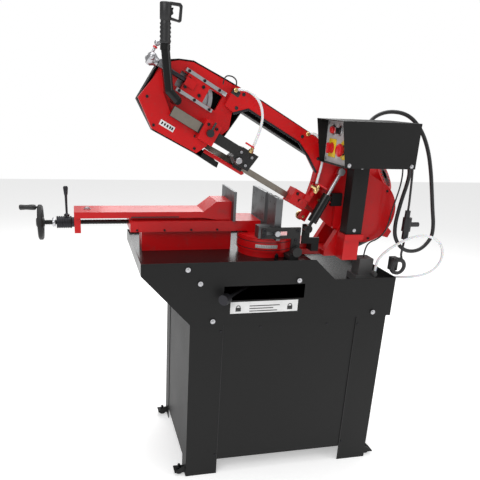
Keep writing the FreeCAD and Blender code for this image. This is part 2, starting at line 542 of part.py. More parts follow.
def blade():
    radius = "wheel_diameter / 2 + fit_gap"
    low = "band_line - band_width / 2"
    halves = []
    for centre, side in (("idler_u", "left"), ("drive_u", "right")):
        loop = cut(rod("Y", centre, low, "wheel_level", f"{radius} + band_thick", "band_width"),
                   rod("Y", centre, f"{low} - 1", "wheel_level", radius, "band_width + 2"))
        away = (centre, f"{centre} + 130") if side == "left" else (f"{centre} - 130", centre)
        halves.append(cut(loop, box(*away, f"{low} - 1", "band_line + 20", "wheel_level - 130",
                                    "wheel_level + 130")))
    top = box("idler_u", "drive_u", low, "band_line + band_width / 2", f"wheel_level + {radius}",
              f"wheel_level + {radius} + band_thick")
    wheel_low = value(f"wheel_level - ({radius}) - band_thick / 2")
    level = value("blade_level")
    lead = value("flat_lead")
    half_wide, half_thick = value("band_width / 2"), value("band_thick / 2")

    def strip(u_start, u_end, steps=5):
        """The stretch where the band turns from flat on the wheel to upright in the guides."""
        sections = []
        for step in range(steps + 1):
            share = step / steps
            turn = math.radians(90 * share)
            u = u_start + (u_end - u_start) * share
            w = wheel_low + (level - wheel_low) * share
            wide = Vector(0, math.cos(turn), math.sin(turn)) * half_wide
            thin = Vector(0, -math.sin(turn), math.cos(turn)) * half_thick
            middle = Vector(u, value("band_line"), w)
            corners = [middle + wide + thin, middle - wide + thin, middle - wide - thin, middle + wide - thin]
            sections.append(Part.makePolygon(corners + corners[:1]))
        twist = doc.addObject("Part::Feature", "Twist")
        twist.Shape = Part.makeLoft(sections, True, True)
        return twist

    flats = [box(start, f"{start} + flat_lead", low, "band_line + band_width / 2",
                 f"wheel_level - ({radius}) - band_thick", f"wheel_level - ({radius})")
             for start in ("idler_u", "drive_u - flat_lead")]
    cutting = box("left_guide", "blade_twist", "band_line - band_thick / 2", "band_line + band_thick / 2",
                  "blade_level - band_width / 2", "blade_level + band_width / 2")
    piece("saw_blade", fuse(*halves, top, *flats, strip(value("idler_u") + lead, value("left_guide")),
                            cutting, strip(value("drive_u") - lead, value("blade_twist"))), home="bow")


sizes(left_guide=-446, blade_twist=-158, flat_lead=30, spoke_rim=12, hub_radius=24, shaft_radius=15, shaft_tail=30)


def wheels():
    low = "band_line - wheel_face / 2"
    for label, centre in (("idler_wheel", "idler_u"), ("drive_wheel", "drive_u")):
        rim = ring("Y", centre, low, "wheel_level", "wheel_diameter / 2", "wheel_diameter / 2 - spoke_rim",
                   "wheel_face")
        web = rod("Y", centre, "band_line - 4", "wheel_level", "wheel_diameter / 2 - 6", "8")
        hub = rod("Y", centre, low, "wheel_level", "hub_radius", "wheel_face")
        bore = rod("Y", centre, f"{low} - 1", "wheel_level", "shaft_radius + bore_gap", "wheel_face + 2")
        if label == "drive_wheel":
            shaft = rod("Y", centre, low, "wheel_level", "shaft_radius", f"plate_back + shaft_tail - ({low})")
            piece(label, fuse(rim, web, hub, shaft), home="bow")
        else:
            piece(label, cut(fuse(rim, web, hub), bore), home="bow")
    block = box("idler_u - 22", "idler_u + 52", "casting_front - 12", "casting_front - fit_gap",
                "rail_low + rail_width + fit_gap", "rail_high - fit_gap")
    tongue = box("idler_u - 18", "idler_u + 48", "casting_front - 5", "casting_back + 3",
                 "rail_low + rail_width + 4", "rail_high - 6")
    carrier = box("idler_u - 22", "idler_u + 40", "casting_back + fit_gap", "casting_back + 9",
                  "wheel_level - 19", "rail_high - 6")
    shaft = rod("Y", "idler_u", "casting_back + 6", "wheel_level", "shaft_radius",
                "band_line + wheel_face / 2 + 4 - casting_back - 6")
    nut = box("idler_u - 22", "idler_u + 10", "tension_y - 11", "casting_front - 12", "tension_w - 12",
              "tension_w + 12")
    piece("tension_slide", fuse(block, tongue, carrier, shaft, nut), home="bow")
    rails = [box("rail_left", "rail_right", "casting_front - 14", "casting_front", low_edge,
                 f"{low_edge} + rail_width")
             for low_edge in ("rail_low", "rail_high")]
    anchor = box("-792", "-772", "tension_y - 13", "casting_front", "tension_w - 9", "tension_w + 12")
    bearing = cut(anchor, rod("X", "-800", "tension_y", "tension_w", "7 + bore_gap", "60"))
    piece("tension_rails", *rails, bearing, home="bow")
    knob = [rod("X", "-828", "tension_y", "tension_w", "20", "18"),
            rod("X", "-810", "tension_y", "tension_w", "14", "17.5", "18"),
            rod("X", "-820", "tension_y", "tension_w", "7", "-702 + 820 - fit_gap"),
            rod("Z", "-819", "tension_y", "tension_w", "4", "44"),
            ball("-819", "tension_y", "tension_w + 44", "9"),
            rod("Y", "-819", "tension_y", "tension_w", "4", "40"),
            ball("-819", "tension_y + 40", "tension_w", "9"),
            rod("Y", "-819", "tension_y - 40", "tension_w", "4", "40"),
            ball("-819", "tension_y - 40", "tension_w", "9")]
    piece("tension_wheel", fuse(*knob), home="bow")


def guides():
    arm = box("arm_start", "arm_end", "arm_front", "arm_back", "arm_low", "arm_high")
    head = prism("XZ", "arm_front", "band_line - 14", [
        ("-474", "-6"), ("-445", "-20"), ("-410", "-20"), ("-402", "arm_high + 3"), ("-460", "arm_high + 3")])
    strip = box("-548", "-408", "band_line - 18", "band_line - 14", "-36", "-27")
    tie = box("-445", "-412", "band_line - 30", "band_line - 14", "-30", "-19")
    upright = box("-445", "-412", "band_line - 14", "band_line + 14", "blade_level + band_width / 2 + 3",
                  "arm_high - 2")
    rollers = [rod("Z", "-428", f"band_line {sign} 9", "blade_level - 8", "8.2", "24") for sign in ("+", "-")]
    piece("guide_arm", fuse(arm, head, strip, tie, upright, *rollers), home="bow")
    block = cut(box("clamp_left", "clamp_right", "arm_front - 14", "casting_front", "arm_low - 14",
                    "arm_high + 16"),
                box("clamp_left - 1", "clamp_right + 1", "arm_front - fit_gap", "arm_back + fit_gap",
                    "arm_low - fit_gap", "arm_high + fit_gap"))
    notch = box("clamp_left - 1", "clamp_right + 1", "shroud_front - 1", "casting_front + 1", "-60", "5.5")
    piece("guide_clamp", cut(block, notch), home="bow")
    piece("guide_lock_knob", fuse(rod("Y", "-575", "arm_front - 30", "18", "11", "14"),
                                  rod("Y", "-575", "arm_front - 17", "18", "5", "3 - fit_gap"),
                                  rod("Z", "-575", "arm_front - 23", "18", "3.5", "34")), home="bow")
    body = cut(box("right_guide", "right_guide + 62", "band_line - 42", "band_line + 14", "-34", "16"),
               box("right_guide - 1", "right_guide + 63", "band_line - 2.5", "band_line + 2.5", "-35", "2"))
    neck = box("right_guide + 40", "right_guide + 62", "casting_front - 12", "casting_front", "0", "59")
    screws = [rod("Y", f"right_guide + {u}", "band_line - 48", w, "6", "6")
              for u, w in (("22", "5"), ("35", "-13"))]
    piece("blade_brush", fuse(rod("Y", "right_guide + 76", "band_line - 16", "blade_level - 34", "15", "10"),
                              rod("Y", "right_guide + 76", "band_line - 37", "blade_level - 34", "5", "34")),
          home="bow")
    brush_arm = cut(box("right_guide + 62", "right_guide + 90", "band_line - 38", "band_line - 30",
                        "blade_level - 46", "blade_level - 8"),
                    rod("Y", "right_guide + 76", "band_line - 40", "blade_level - 34", "5 + bore_gap", "30"))
    upper_tap = fuse(rod("Y", "-173", "66", "46", "8", "casting_front - 12 - 66"),
                     rod("Z", "-173", "74", "20", "6", "44"), rod("X", "-194", "74", "46", "5", "24"))
    lower_tap = fuse(rod("Y", "-121", "84", "21", "7", "casting_front - 84"), rod("Z", "-121", "91", "6", "4.5", "30"))
    piece("right_guide", fuse(body, neck), brush_arm, upper_tap, lower_tap, *screws, home="bow")


def drive():
    case = rod("Y", "drive_u", "plate_back", "wheel_level", "gearbox_radius", "gearbox_depth")
    nose = rod("Y", "drive_u", "housing_back - 2", "wheel_level", "19", "plate_back - housing_back + 3")
    bearing_bore = rod("Y", "drive_u", "housing_back - 3", "wheel_level", "shaft_radius + bore_gap",
                       "plate_back + shaft_tail + fit_gap - housing_back + 3")
    piece("gearbox", cut(fuse(case, nose), bearing_bore), home="bow")
    axis = Vector(value("motor_axis_x"), value("motor_axis_y"), value("motor_axis_z")).normalize()
    turn = FreeCAD.Rotation(Vector(0, 0, 1), axis)

    def stage(start, length, radius, end_radius=None):
        return rod("Z", "0", "0", start, radius, length, end_radius)

    motor = doc.addObject("Part::Compound", "Motor")
    motor.Links = [fuse(stage("0", "motor_length - 34", "motor_radius - 5"),
                        stage("-26", "28", "motor_radius - 22", "motor_radius - 5"),
                        stage("motor_length - 40", "40", "motor_radius"))]
    motor.Placement = FreeCAD.Placement(Vector(), turn)
    place(motor, "motor_u", "motor_y", "motor_w")
    piece("motor", cut(motor, rod("Y", "drive_u", "plate_back", "wheel_level", "gearbox_radius + fit_gap", "gearbox_depth + fit_gap")),
          home="bow")


sizes(gearbox_depth=150, gearbox_radius=55, motor_length=160, motor_radius=60, motor_u=56, motor_w=110, motor_y=330,
      motor_axis_x=0.339, motor_axis_y=-0.589, motor_axis_z=0.734)


def handle():
    elbow = ("-735", "58")
    start = ("-702", "48")
    tube = fuse(bar_between(*start, *elbow, "handle_y", "tube_radius"), ball(elbow[0], "handle_y", elbow[1],
                                                                            "tube_radius"),
                bar_between(*elbow, "handle_u", "handle_w", "handle_y", "tube_radius"),
                ball("handle_u", "handle_y", "handle_w", "tube_radius"),
                rod("Y", start[0], "handle_y", start[1], "tube_radius - 0.5", "casting_front - handle_y"))
    piece("handle_tube", tube, home="bow")
    grip = cut(rod("Z", "0", "handle_y", "tube_radius / 2", "grip_radius", "grip_length"),
               ball("0", "handle_y", "0", "tube_radius + bore_gap"))
    guard = prism("XZ", "handle_y - 8", "handle_y + 8", [
        ("0", "grip_length - 36"), ("40", "grip_length - 42"), ("46", "grip_length"), ("40", "grip_length + 6"),
        ("0", "grip_length + 8")])
    finger_gap = prism("XZ", "handle_y - 9", "handle_y + 9", [
        ("-5", "grip_length - 29"), ("34", "grip_length - 35"), ("39", "grip_length - 2"),
        ("-5", "grip_length")])
    slot = box("-6", "grip_radius + 1", "handle_y - 4", "handle_y + 4", "grip_length - 26", "grip_length - 6")
    piece("handle_grip", cut(fuse(cut(guard, finger_gap), grip), slot), home="handle")
    piece("trigger", box("1", "grip_radius + 6", "handle_y - 4 + fit_gap", "handle_y + 4 - fit_gap",
                         "grip_length - 26 + fit_gap", "grip_length - 6 - fit_gap"), home="handle")


# ---------------------------------------------------------------- limit switch, valve and stop
def fittings():
    plate = cut(fuse(box("229", "362", "26", "34", "862", "898"), box("332", "362", "26", "34", "788", "898")),
                box("246", "318", "25", "35", "872", "886"))
    arm = cut(box("332", "362", "34", "table_y - 40", "788", "800"),
              rod("Z", "table_x", "table_y", "700", "base_radius", "200"))
    knob = fuse(rod("Y", "347", "2", "822", "16", "16"), rod("Y", "347", "10", "822", "5", "16"))
    piece("stop_bracket", fuse(plate, arm), knob)


def pump():
    elbow = fuse(rod("Y", "652", "26", "730", "7", "26"), rod("Z", "652", "33", "730", "5", "12"))
    piece("coolant_pump", box("600", "652", "52", "104", "722", "779"),
          box("588", "664", "44", "112", "well_floor", "722"), elbow,
          rod("X", "cabinet_width + tray_right", "46", "712", "8", "7"))


def fasteners():
    heads = []
    for x, z in (("-12", "776"), ("29", "729"), ("361", "729"), ("74", "599"), ("644", "604")):
        heads.append(rod("Y", x, "-wall - 4", z, "6", "4"))
    heads.append(rod("Y", "282", "20", "879", "9", "6"))
    piece("zinc_screws", *heads)


# ---------------------------------------------------------------- cords
def path_shape(points, radius):
    """Straight runs joined by tangent arcs, swept by a round section."""
    edges = []
    start = points[0]
    radii = []
    for before, corner, after in zip(points, points[1:], points[2:]):
        into = (corner - before)
        away = (after - corner)
        shorter = min(into.Length, away.Length)
        turn = into.getAngle(away)
        setback = 0.45 * shorter
        bend = setback / math.tan(turn / 2)
        radii.append(bend)
        first = corner - into.normalize() * setback
        last = corner + away.normalize() * setback
        inward = (away - into).normalize()
        middle_gap = bend / math.cos(turn / 2) - bend
        edges.append(Part.LineSegment(start, first).toShape())
        edges.append(Part.Arc(first, corner + inward * middle_gap, last).toShape())
        start = last
    edges.append(Part.LineSegment(start, points[-1]).toShape())
    wire = Part.Wire(edges)
    section = Part.Wire(Part.Circle(points[0], points[1] - points[0], radius).toShape())
    tube = wire.makePipeShell([section], True, False, 2)
    expected = math.pi * radius ** 2 * wire.Length
    print(f"length {wire.Length:.0f}, least bend {min(radii):.0f}, volume share {tube.Volume / expected:.4f}")
    return tube


def cord(label, diameter, *routes):
    tubes = []
    for route in routes:
        tube = doc.addObject("Part::Feature", "Cord")
        tube.Shape = path_shape([Vector(*point) for point in route], value(diameter) / 2)
        tubes.append(tube)
    piece(label, *tubes)


sizes(conduit_width=13, lead_width=7.5, hose_width=9, pump_cable_width=5)

CONDUIT_ROUTE = [
    (600, 66, 1170), (600, 112, 1170), (610, 152, 1196), (638, 170, 1238), (690, 160, 1262), (750, 134, 1254),
    (792, 110, 1208), (818, 92, 1146), (834, 80, 1078), (846, 72, 1010), (858, 66, 944), (869, 61, 892),
    (868, 58, 845), (825, 55, 802), (765, 54, 803), (723, 55, 846), (716, 57, 894), (722, 59, 944),
    (730, 60, 990), (738, 58, 1032), (737, 50, 1074), (720, 43, 1108), (685, 38, 1128), (645, 38, 1128)]
LEAD_ROUTE = [
    (645, 4, 1160), (667, 4, 1160), (692, 7, 1150), (712, 12, 1126), (724, 17, 1088), (731, 22, 1040),
    (737, 27, 992), (742, 33, 970), (742, 33, 950)]
LEAD_TAIL_ROUTE = [(748, 37, 852), (748, 37, 836), (742, 31, 816), (735, 23, 796), (731, 16, 778)]
HOSE_ROUTE = [
    (652, 33, 742), (652, 33, 762), (657, 30, 786), (676, 24, 812), (708, 17, 838), (748, 11, 860),
    (792, 8, 871), (836, 6, 864), (870, 6, 842), (888, 8, 808), (888, 12, 772), (870, 18, 742),
    (840, 26, 724), (806, 34, 715), (772, 42, 712), (746, 46, 712), (722, 46, 712)]
PUMP_CABLE_ROUTE = [
    (645, 22, 1128), (663, 22, 1128), (686, 27, 1114), (702, 36, 1082), (708, 46, 1036), (704, 54, 988),
    (698, 62, 940), (699, 70, 896), (690, 78, 860), (668, 80, 840), (642, 79, 832), (628, 78, 812),
    (626, 78, 779.5)]


def cords():
    cord("cable_conduit", "conduit_width", CONDUIT_ROUTE)
    cord("mains_lead", "lead_width", LEAD_ROUTE, LEAD_TAIL_ROUTE)
    cord("coolant_hose", "hose_width", HOSE_ROUTE)
    cord("pump_cable", "pump_cable_width", PUMP_CABLE_ROUTE)
    piece("lead_coupler", fuse(rod("Z", "748", "37", "852", "11", "30"), rod("Z", "746", "35", "880", "15", "46"),
                               rod("Z", "742", "33", "924", "9", "26"), rod("X", "746", "35", "902", "8", "44")))
    piece("lead_hank", ring("Y", "722", "2", "763", "32", "12", "18"))
    piece("mains_plug", box("704", "728", "20.3", "44", "745", "790"))


def check_and_write():
    doc.recompute()
    for item in doc.Objects:
        if {"Invalid", "Error"} & set(item.State):
            raise RuntimeError(f"{item.Name} ({item.Label}) failed: {item.State}")
    for part in pieces:
        if part.Shape.isNull() or not part.Shape.isValid() or not part.Shape.Solids:
            raise RuntimeError(f"{part.Label} has no sound solid")
    os.makedirs("parts", exist_ok=True)
    whole = None
    for part in pieces:
        part.Shape.exportStep(f"parts/{part.Label}.step")
        whole = part.Shape.BoundBox if whole is None else whole.united(part.Shape.BoundBox)
    print(f"{len(pieces)} sub-parts, box {whole}")


dims.recompute()
doc.recompute()
for section in (cabinet, tray, table, vise, lock_lever, swivel, linkages, casting, covers, blade, wheels,
                guides, drive, handle, fittings, pump, fasteners, cords):
    section()
check_and_write()
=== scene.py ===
import math
import random

import bpy
from mathutils import Matrix, Vector


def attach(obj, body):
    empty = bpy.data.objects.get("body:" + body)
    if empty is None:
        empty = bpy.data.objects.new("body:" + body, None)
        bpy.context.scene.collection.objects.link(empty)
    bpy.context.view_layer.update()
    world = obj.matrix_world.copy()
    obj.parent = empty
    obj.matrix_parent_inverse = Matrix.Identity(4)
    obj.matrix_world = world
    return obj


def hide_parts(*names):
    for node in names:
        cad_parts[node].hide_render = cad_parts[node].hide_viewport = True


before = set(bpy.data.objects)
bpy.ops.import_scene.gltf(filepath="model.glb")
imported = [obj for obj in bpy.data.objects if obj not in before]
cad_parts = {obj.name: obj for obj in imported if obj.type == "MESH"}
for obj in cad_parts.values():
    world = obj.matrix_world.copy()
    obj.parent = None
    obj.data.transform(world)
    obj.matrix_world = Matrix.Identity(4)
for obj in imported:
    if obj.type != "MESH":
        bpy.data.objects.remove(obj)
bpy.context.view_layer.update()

chance = random.Random(7)

# where things are: millimetres from the stand's front left foot, and along the bow from its pivot
layout = {"originX": 139.81, "originY": 173.0, "pivotX": 548.0, "pivotZ": 893.0, "restAngle": 28.3}
bowTurn = Matrix.Rotation(math.radians(layout["restAngle"]), 4, "Y")
acrossX, acrossY, upZ = Vector((1, 0, 0)), Vector((0, 1, 0)), Vector((0, 0, 1))
alongBow = bowTurn.to_3x3() @ acrossX
upBow = bowTurn.to_3x3() @ upZ


def at(x, y, z):
    return Vector((x - layout["originX"], y - layout["originY"], z)) / 1000


def onBow(u, y, w):
    return at(layout["pivotX"], y, layout["pivotZ"]) + (alongBow * u + upBow * w) / 1000


def mm(length):
    return length / 1000


# ---- shader maths and finishes
class Wire:
    def __init__(self, finish, socket):
        self.finish, self.socket = finish, socket

    def maths(self, operation, first, second):
        return self.finish.node("Math", {"operation": operation}, first, second)

    def __add__(self, other): return self.maths("ADD", self, other)
    def __radd__(self, other): return self.maths("ADD", other, self)
    def __sub__(self, other): return self.maths("SUBTRACT", self, other)
    def __rsub__(self, other): return self.maths("SUBTRACT", other, self)
    def __mul__(self, other): return self.maths("MULTIPLY", self, other)
    def __rmul__(self, other): return self.maths("MULTIPLY", other, self)
    def __pow__(self, other): return self.maths("POWER", self, other)


class Finish:
    def __init__(self, name, **fixed):
        self.material = bpy.data.materials.new(name)
        self.material.use_nodes = True
        self.tree = self.material.node_tree
        self.shader = self.tree.nodes["Principled BSDF"]
        self.set(**fixed)

    def node(self, kind, settings, *values, output=0, **named):
        made = self.tree.nodes.new("ShaderNode" + kind)
        for key, setting in settings.items():
            if key == "stops":
                ramp = made.color_ramp
                for element, (place, shade) in zip(ramp.elements, setting):
                    element.position, element.color = place, (shade, shade, shade, 1)
            else:
                setattr(made, key, setting)
        for key, value in list(enumerate(values)) + list(named.items()):
            self.feed(made.inputs[key], value)
        return Wire(self, made.outputs[output])

    def feed(self, socket, value):
        if isinstance(value, Wire):
            self.tree.links.new(value.socket, socket)
        elif isinstance(value, tuple) and len(value) == 3 and socket.type == "RGBA":
            socket.default_value = (*value, 1)
        else:
            socket.default_value = value

    def set(self, **sockets):
        for key, value in sockets.items():
            self.feed(self.shader.inputs[key.replace("_", " ")], value)
        return self

    def place(self, stretch=(1, 1, 1)):
        spot = self.node("TexCoord", {}, output="Object")
        return self.node("Mapping", {}, spot, Scale=stretch)

    def noise(self, scale, detail=4.0, stretch=(1, 1, 1)):
        return self.node("TexNoise", {}, Vector=self.place(stretch), Scale=scale, Detail=detail)

    def band(self, wire, low, high):
        return self.node("MapRange", {}, wire, **{"From Min": low, "From Max": high})

    def blended(self, share, first, second):
        made = self.tree.nodes.new("ShaderNodeMix")
        made.data_type = "RGBA"
        self.feed(made.inputs[0], share)
        self.feed(made.inputs[6], first)
        self.feed(made.inputs[7], second)
        return Wire(self, made.outputs[2])

    def bump(self, height, strength, distance=0.001):
        self.set(Normal=self.node("Bump", {}, Height=height, Strength=strength, Distance=distance))
        return self


def enamel(name, colour, rough, dust):
    made = Finish(name, Specular_IOR_Level=0.3, Coat_Weight=0.12, Coat_Roughness=0.1)
    cloud = made.noise(9.0)
    grime = made.band(made.noise(55.0, 6.0), 0.56, 0.78)
    shade = made.blended(made.band(cloud, 0.3, 0.7), colour, tuple(part * 0.84 for part in colour))
    made.set(Base_Color=made.blended(grime * dust, shade, (0.16, 0.05, 0.045)))
    made.set(Roughness=rough + 0.12 * cloud + 0.15 * (grime * dust))
    return made.bump(made.noise(260.0, 2.0), 0.05)


def powderCoat(name, level, rough, grain):
    made = Finish(name, Specular_IOR_Level=0.28)
    cloud, fine = made.noise(6.0), made.noise(900.0, 2.0)
    scuff = made.band(made.noise(34.0, 8.0, (1, 1, 3)), 0.62, 0.8)
    dark, pale = (level,) * 3, (level * 1.5,) * 3
    made.set(Base_Color=made.blended(0.25 * scuff + 0.4 * made.band(cloud, 0.35, 0.7), dark, pale))
    made.set(Roughness=rough + 0.1 * cloud - 0.08 * scuff)
    return made.bump(fine, grain)


def metal(name, colour, rough, stretch=(1, 1, 1), stain=0.3):
    made = Finish(name, Metallic=1.0)
    grain = made.noise(420.0, 3.0, stretch)
    blotch = made.band(made.noise(28.0, 6.0), 0.5, 0.75)
    dull = tuple(part * 0.55 for part in colour)
    made.set(Base_Color=made.blended(stain * blotch, colour, dull))
    made.set(Roughness=rough + 0.18 * grain + 0.15 * blotch)
    return made.bump(grain, 0.12, 0.0004)


def plastic(name, colour, rough, grain=0.06):
    made = Finish(name)
    cloud = made.noise(40.0)
    made.set(Base_Color=made.blended(made.band(cloud, 0.3, 0.7), colour, tuple(part * 0.88 for part in colour)))
    made.set(Roughness=rough + 0.08 * cloud)
    return made.bump(made.noise(700.0, 2.0), grain, 0.0004)


def clearHose(name):
    made = plastic(name, (0.80, 0.81, 0.83), 0.18, 0.02)
    return made.set(Subsurface_Weight=0.25, Subsurface_Scale=0.004)


finishes = {
    "red": enamel("redEnamel", (0.58, 0.004, 0.006), 0.28, 0.3),
    "darkRed": enamel("castingRed", (0.42, 0.004, 0.005), 0.34, 0.5),
    "black": powderCoat("blackPowderCoat", 0.006, 0.48, 0.16),
    "deck": powderCoat("deckEnamel", 0.006, 0.2, 0.03),
    "gloss": powderCoat("blackGloss", 0.008, 0.16, 0.02),
    "blackSteel": metal("blackenedSteel", (0.045, 0.045, 0.05), 0.34),
    "castBlack": powderCoat("blackCasting", 0.016, 0.40, 0.5),
    "steel": metal("groundSteel", (0.52, 0.52, 0.54), 0.26, (1, 1, 12)),
    "jaw": metal("jawSteel", (0.17, 0.175, 0.18), 0.36, (1, 1, 9)),
    "blade": metal("bladeSteel", (0.30, 0.27, 0.23), 0.30, (1, 20, 20), 0.5),
    "zinc": metal("zincPlate", (0.52, 0.52, 0.54), 0.20, stain=0.3),
    "brass": metal("brass", (0.78, 0.58, 0.26), 0.18, stain=0.35),
    "wheelIron": metal("wheelIron", (0.36, 0.36, 0.37), 0.34),
    "rubber": plastic("gripRubber", (0.013, 0.013, 0.014), 0.42, 0.2),
    "plastic": plastic("blackPlastic", (0.014, 0.014, 0.015), 0.30),
    "panel": powderCoat("panelGrey", 0.46, 0.34, 0.04),
    "redPlastic": plastic("redButton", (0.66, 0.012, 0.018), 0.22),
    "greenPlastic": plastic("greenButton", (0.015, 0.34, 0.08), 0.22),
    "yellow": plastic("yellowPlate", (0.86, 0.62, 0.02), 0.34),
    "white": plastic("whiteLabel", (0.78, 0.78, 0.78), 0.36),
    "blue": plastic("bluePart", (0.05, 0.17, 0.36), 0.4),
    "pump": powderCoat("pumpGrey", 0.085, 0.42, 0.4),
    "hose": clearHose("clearHose"),
    "cable": plastic("cableSheath", (0.012, 0.012, 0.013), 0.36, 0.12)}
print("finishes made:", len(finishes))


# ---- modelling with operators
def fresh():
    if bpy.context.object and bpy.context.object.mode != "OBJECT":
        bpy.ops.object.mode_set(mode="OBJECT")
    bpy.ops.object.select_all(action="DESELECT")


def applied(piece, kind, **settings):
    bpy.context.view_layer.objects.active = piece
    added = piece.modifiers.new(kind, kind)
    for key, setting in settings.items():
        setattr(added, key, setting)
    bpy.ops.object.modifier_apply(modifier=added.name)


def settled(piece, edge=0.0, smooth=40, segments=2):
    fresh()
    piece.select_set(True)
    bpy.context.view_layer.objects.active = piece
    bpy.ops.object.transform_apply(location=True, rotation=True, scale=True)
    if edge:
        applied(piece, "BEVEL", width=edge, segments=segments, limit_method="ANGLE",
                angle_limit=math.radians(35))
    piece.select_set(True)
    bpy.ops.object.shade_smooth_by_angle(angle=math.radians(smooth))
    return piece


def bar(start, end, radius, endRadius=None, sides=32, edge=0.0):
    fresh()
    span = end - start
    bpy.ops.mesh.primitive_cone_add(
        vertices=sides, radius1=radius, radius2=radius if endRadius is None else endRadius,
        depth=span.length, location=(start + end) / 2, rotation=span.to_track_quat("Z", "Y").to_euler())
    return settled(bpy.context.object, edge)


def block(centre, size, edge=0.001, turn=None):
    fresh()
    bpy.ops.mesh.primitive_cube_add(size=1, location=centre, scale=size,
                                    rotation=(turn or Matrix()).to_euler())
    return settled(bpy.context.object, edge)


def slab(corners, push, edge=0.0, inset=0.0, rise=0.0, segments=2):
    fresh()
    bpy.ops.mesh.primitive_circle_add(vertices=len(corners), fill_type="NGON")
    piece = bpy.context.object
    for vertex, corner in zip(piece.data.vertices, corners):
        vertex.co = corner
    bpy.ops.object.mode_set(mode="EDIT")
    bpy.ops.mesh.select_all(action="SELECT")
    bpy.ops.mesh.extrude_region_move(TRANSFORM_OT_translate={"value": push})
    if inset:
        bpy.ops.mesh.inset(thickness=inset, depth=0)
        bpy.ops.transform.translate(value=push.normalized() * rise)
    bpy.ops.mesh.select_all(action="SELECT")
    bpy.ops.mesh.normals_make_consistent(inside=False)
    bpy.ops.object.mode_set(mode="OBJECT")
    return settled(piece, edge, 30, segments)


def turned(profile, base, direction, steps=32, smooth=40):
    fresh()
    bpy.ops.mesh.primitive_circle_add(vertices=len(profile), fill_type="NOTHING")
    piece = bpy.context.object
    side = direction.orthogonal().normalized()
    for vertex, (out, along) in zip(piece.data.vertices, profile):
        vertex.co = base + side * mm(out) + direction * mm(along)
    bpy.ops.object.mode_set(mode="EDIT")
    bpy.ops.mesh.select_all(action="SELECT")
    bpy.ops.mesh.spin(steps=steps, angle=math.tau, center=base, axis=direction)
    bpy.ops.mesh.select_all(action="SELECT")
    bpy.ops.mesh.remove_doubles(threshold=1e-5)
    bpy.ops.mesh.normals_make_consistent(inside=False)
    bpy.ops.object.mode_set(mode="OBJECT")
    return settled(piece, 0, smooth)


def route(name, points, diameter, finish, resolution=8):
    curve = bpy.data.curves.new(name, "CURVE")
    curve.dimensions = "3D"
    line = curve.splines.new("NURBS")
    line.points.add(len(points) - 1)
    for spot, point in zip(line.points, points):
        spot.co = (*point, 1)
    line.order_u = 3
    line.use_endpoint_u = True
    line.resolution_u = resolution
    curve.bevel_depth = diameter / 2
    curve.bevel_resolution = 4
    curve.use_fill_caps = True
    piece = bpy.data.objects.new(name, curve)
    bpy.context.collection.objects.link(piece)
    curve.materials.append(finishes[finish].material)
    return piece


def joined(name, parts):
    fresh()
    for part in parts:
        part.select_set(True)
    bpy.context.view_layer.objects.active = parts[0]
    if len(parts) > 1:
        bpy.ops.object.join()
    piece = bpy.context.object
    piece.name = piece.data.name = name
    return piece


def fitted(name, parts, finish, body, slot, *nodes):
    piece = joined(name, parts)
    piece.data.materials.clear()
    piece.data.materials.append(finishes[finish].material)
    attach(piece, body)
    if nodes:
        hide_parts(*nodes)
    return piece


def capScrew(seat, direction, radius=5.0, height=None):
    tall = height or radius
    return turned([(0, 0), (radius, 0), (radius, tall * 0.8), (radius * 0.86, tall), (radius * 0.55, tall),
                   (radius * 0.5, tall * 0.35), (0, tall * 0.35)], seat, direction, 18)


def crossScrew(seat, direction, radius=6.0):
    dome = turned([(0, 0), (radius, 0), (radius * 0.92, radius * 0.28), (radius * 0.5, radius * 0.55),
                   (0, radius * 0.62)], seat, direction, 20)
    washer = turned([(0, -0.2), (radius * 1.35, -0.2), (radius * 1.35, 0.9), (0, 0.9)], seat, direction, 20)
    return joined("head", [dome, washer])


# ---- camera, floor and light
def camera():
    yaw, pitch, roll = 0.245, 0.352, 0.044
    ahead = Vector((math.sin(yaw) * math.cos(pitch), math.cos(yaw) * math.cos(pitch), -math.sin(pitch)))
    right = ahead.cross(upZ).normalized()
    up = right.cross(ahead)
    tiltedRight = right * math.cos(roll) + up * math.sin(roll)
    tiltedUp = up * math.cos(roll) - right * math.sin(roll)
    made = bpy.data.cameras.new("view")
    made.lens, made.sensor_width = 41.895, 36
    made.shift_x, made.shift_y = 0.0583, 0.125
    holder = bpy.data.objects.new("view", made)
    bpy.context.collection.objects.link(holder)
    turn = Matrix((tiltedRight, tiltedUp, -ahead)).transposed().to_4x4()
    holder.matrix_world = Matrix.Translation(at(-337.3, -1627.8, 1288.1)) @ turn
    bpy.context.scene.camera = holder


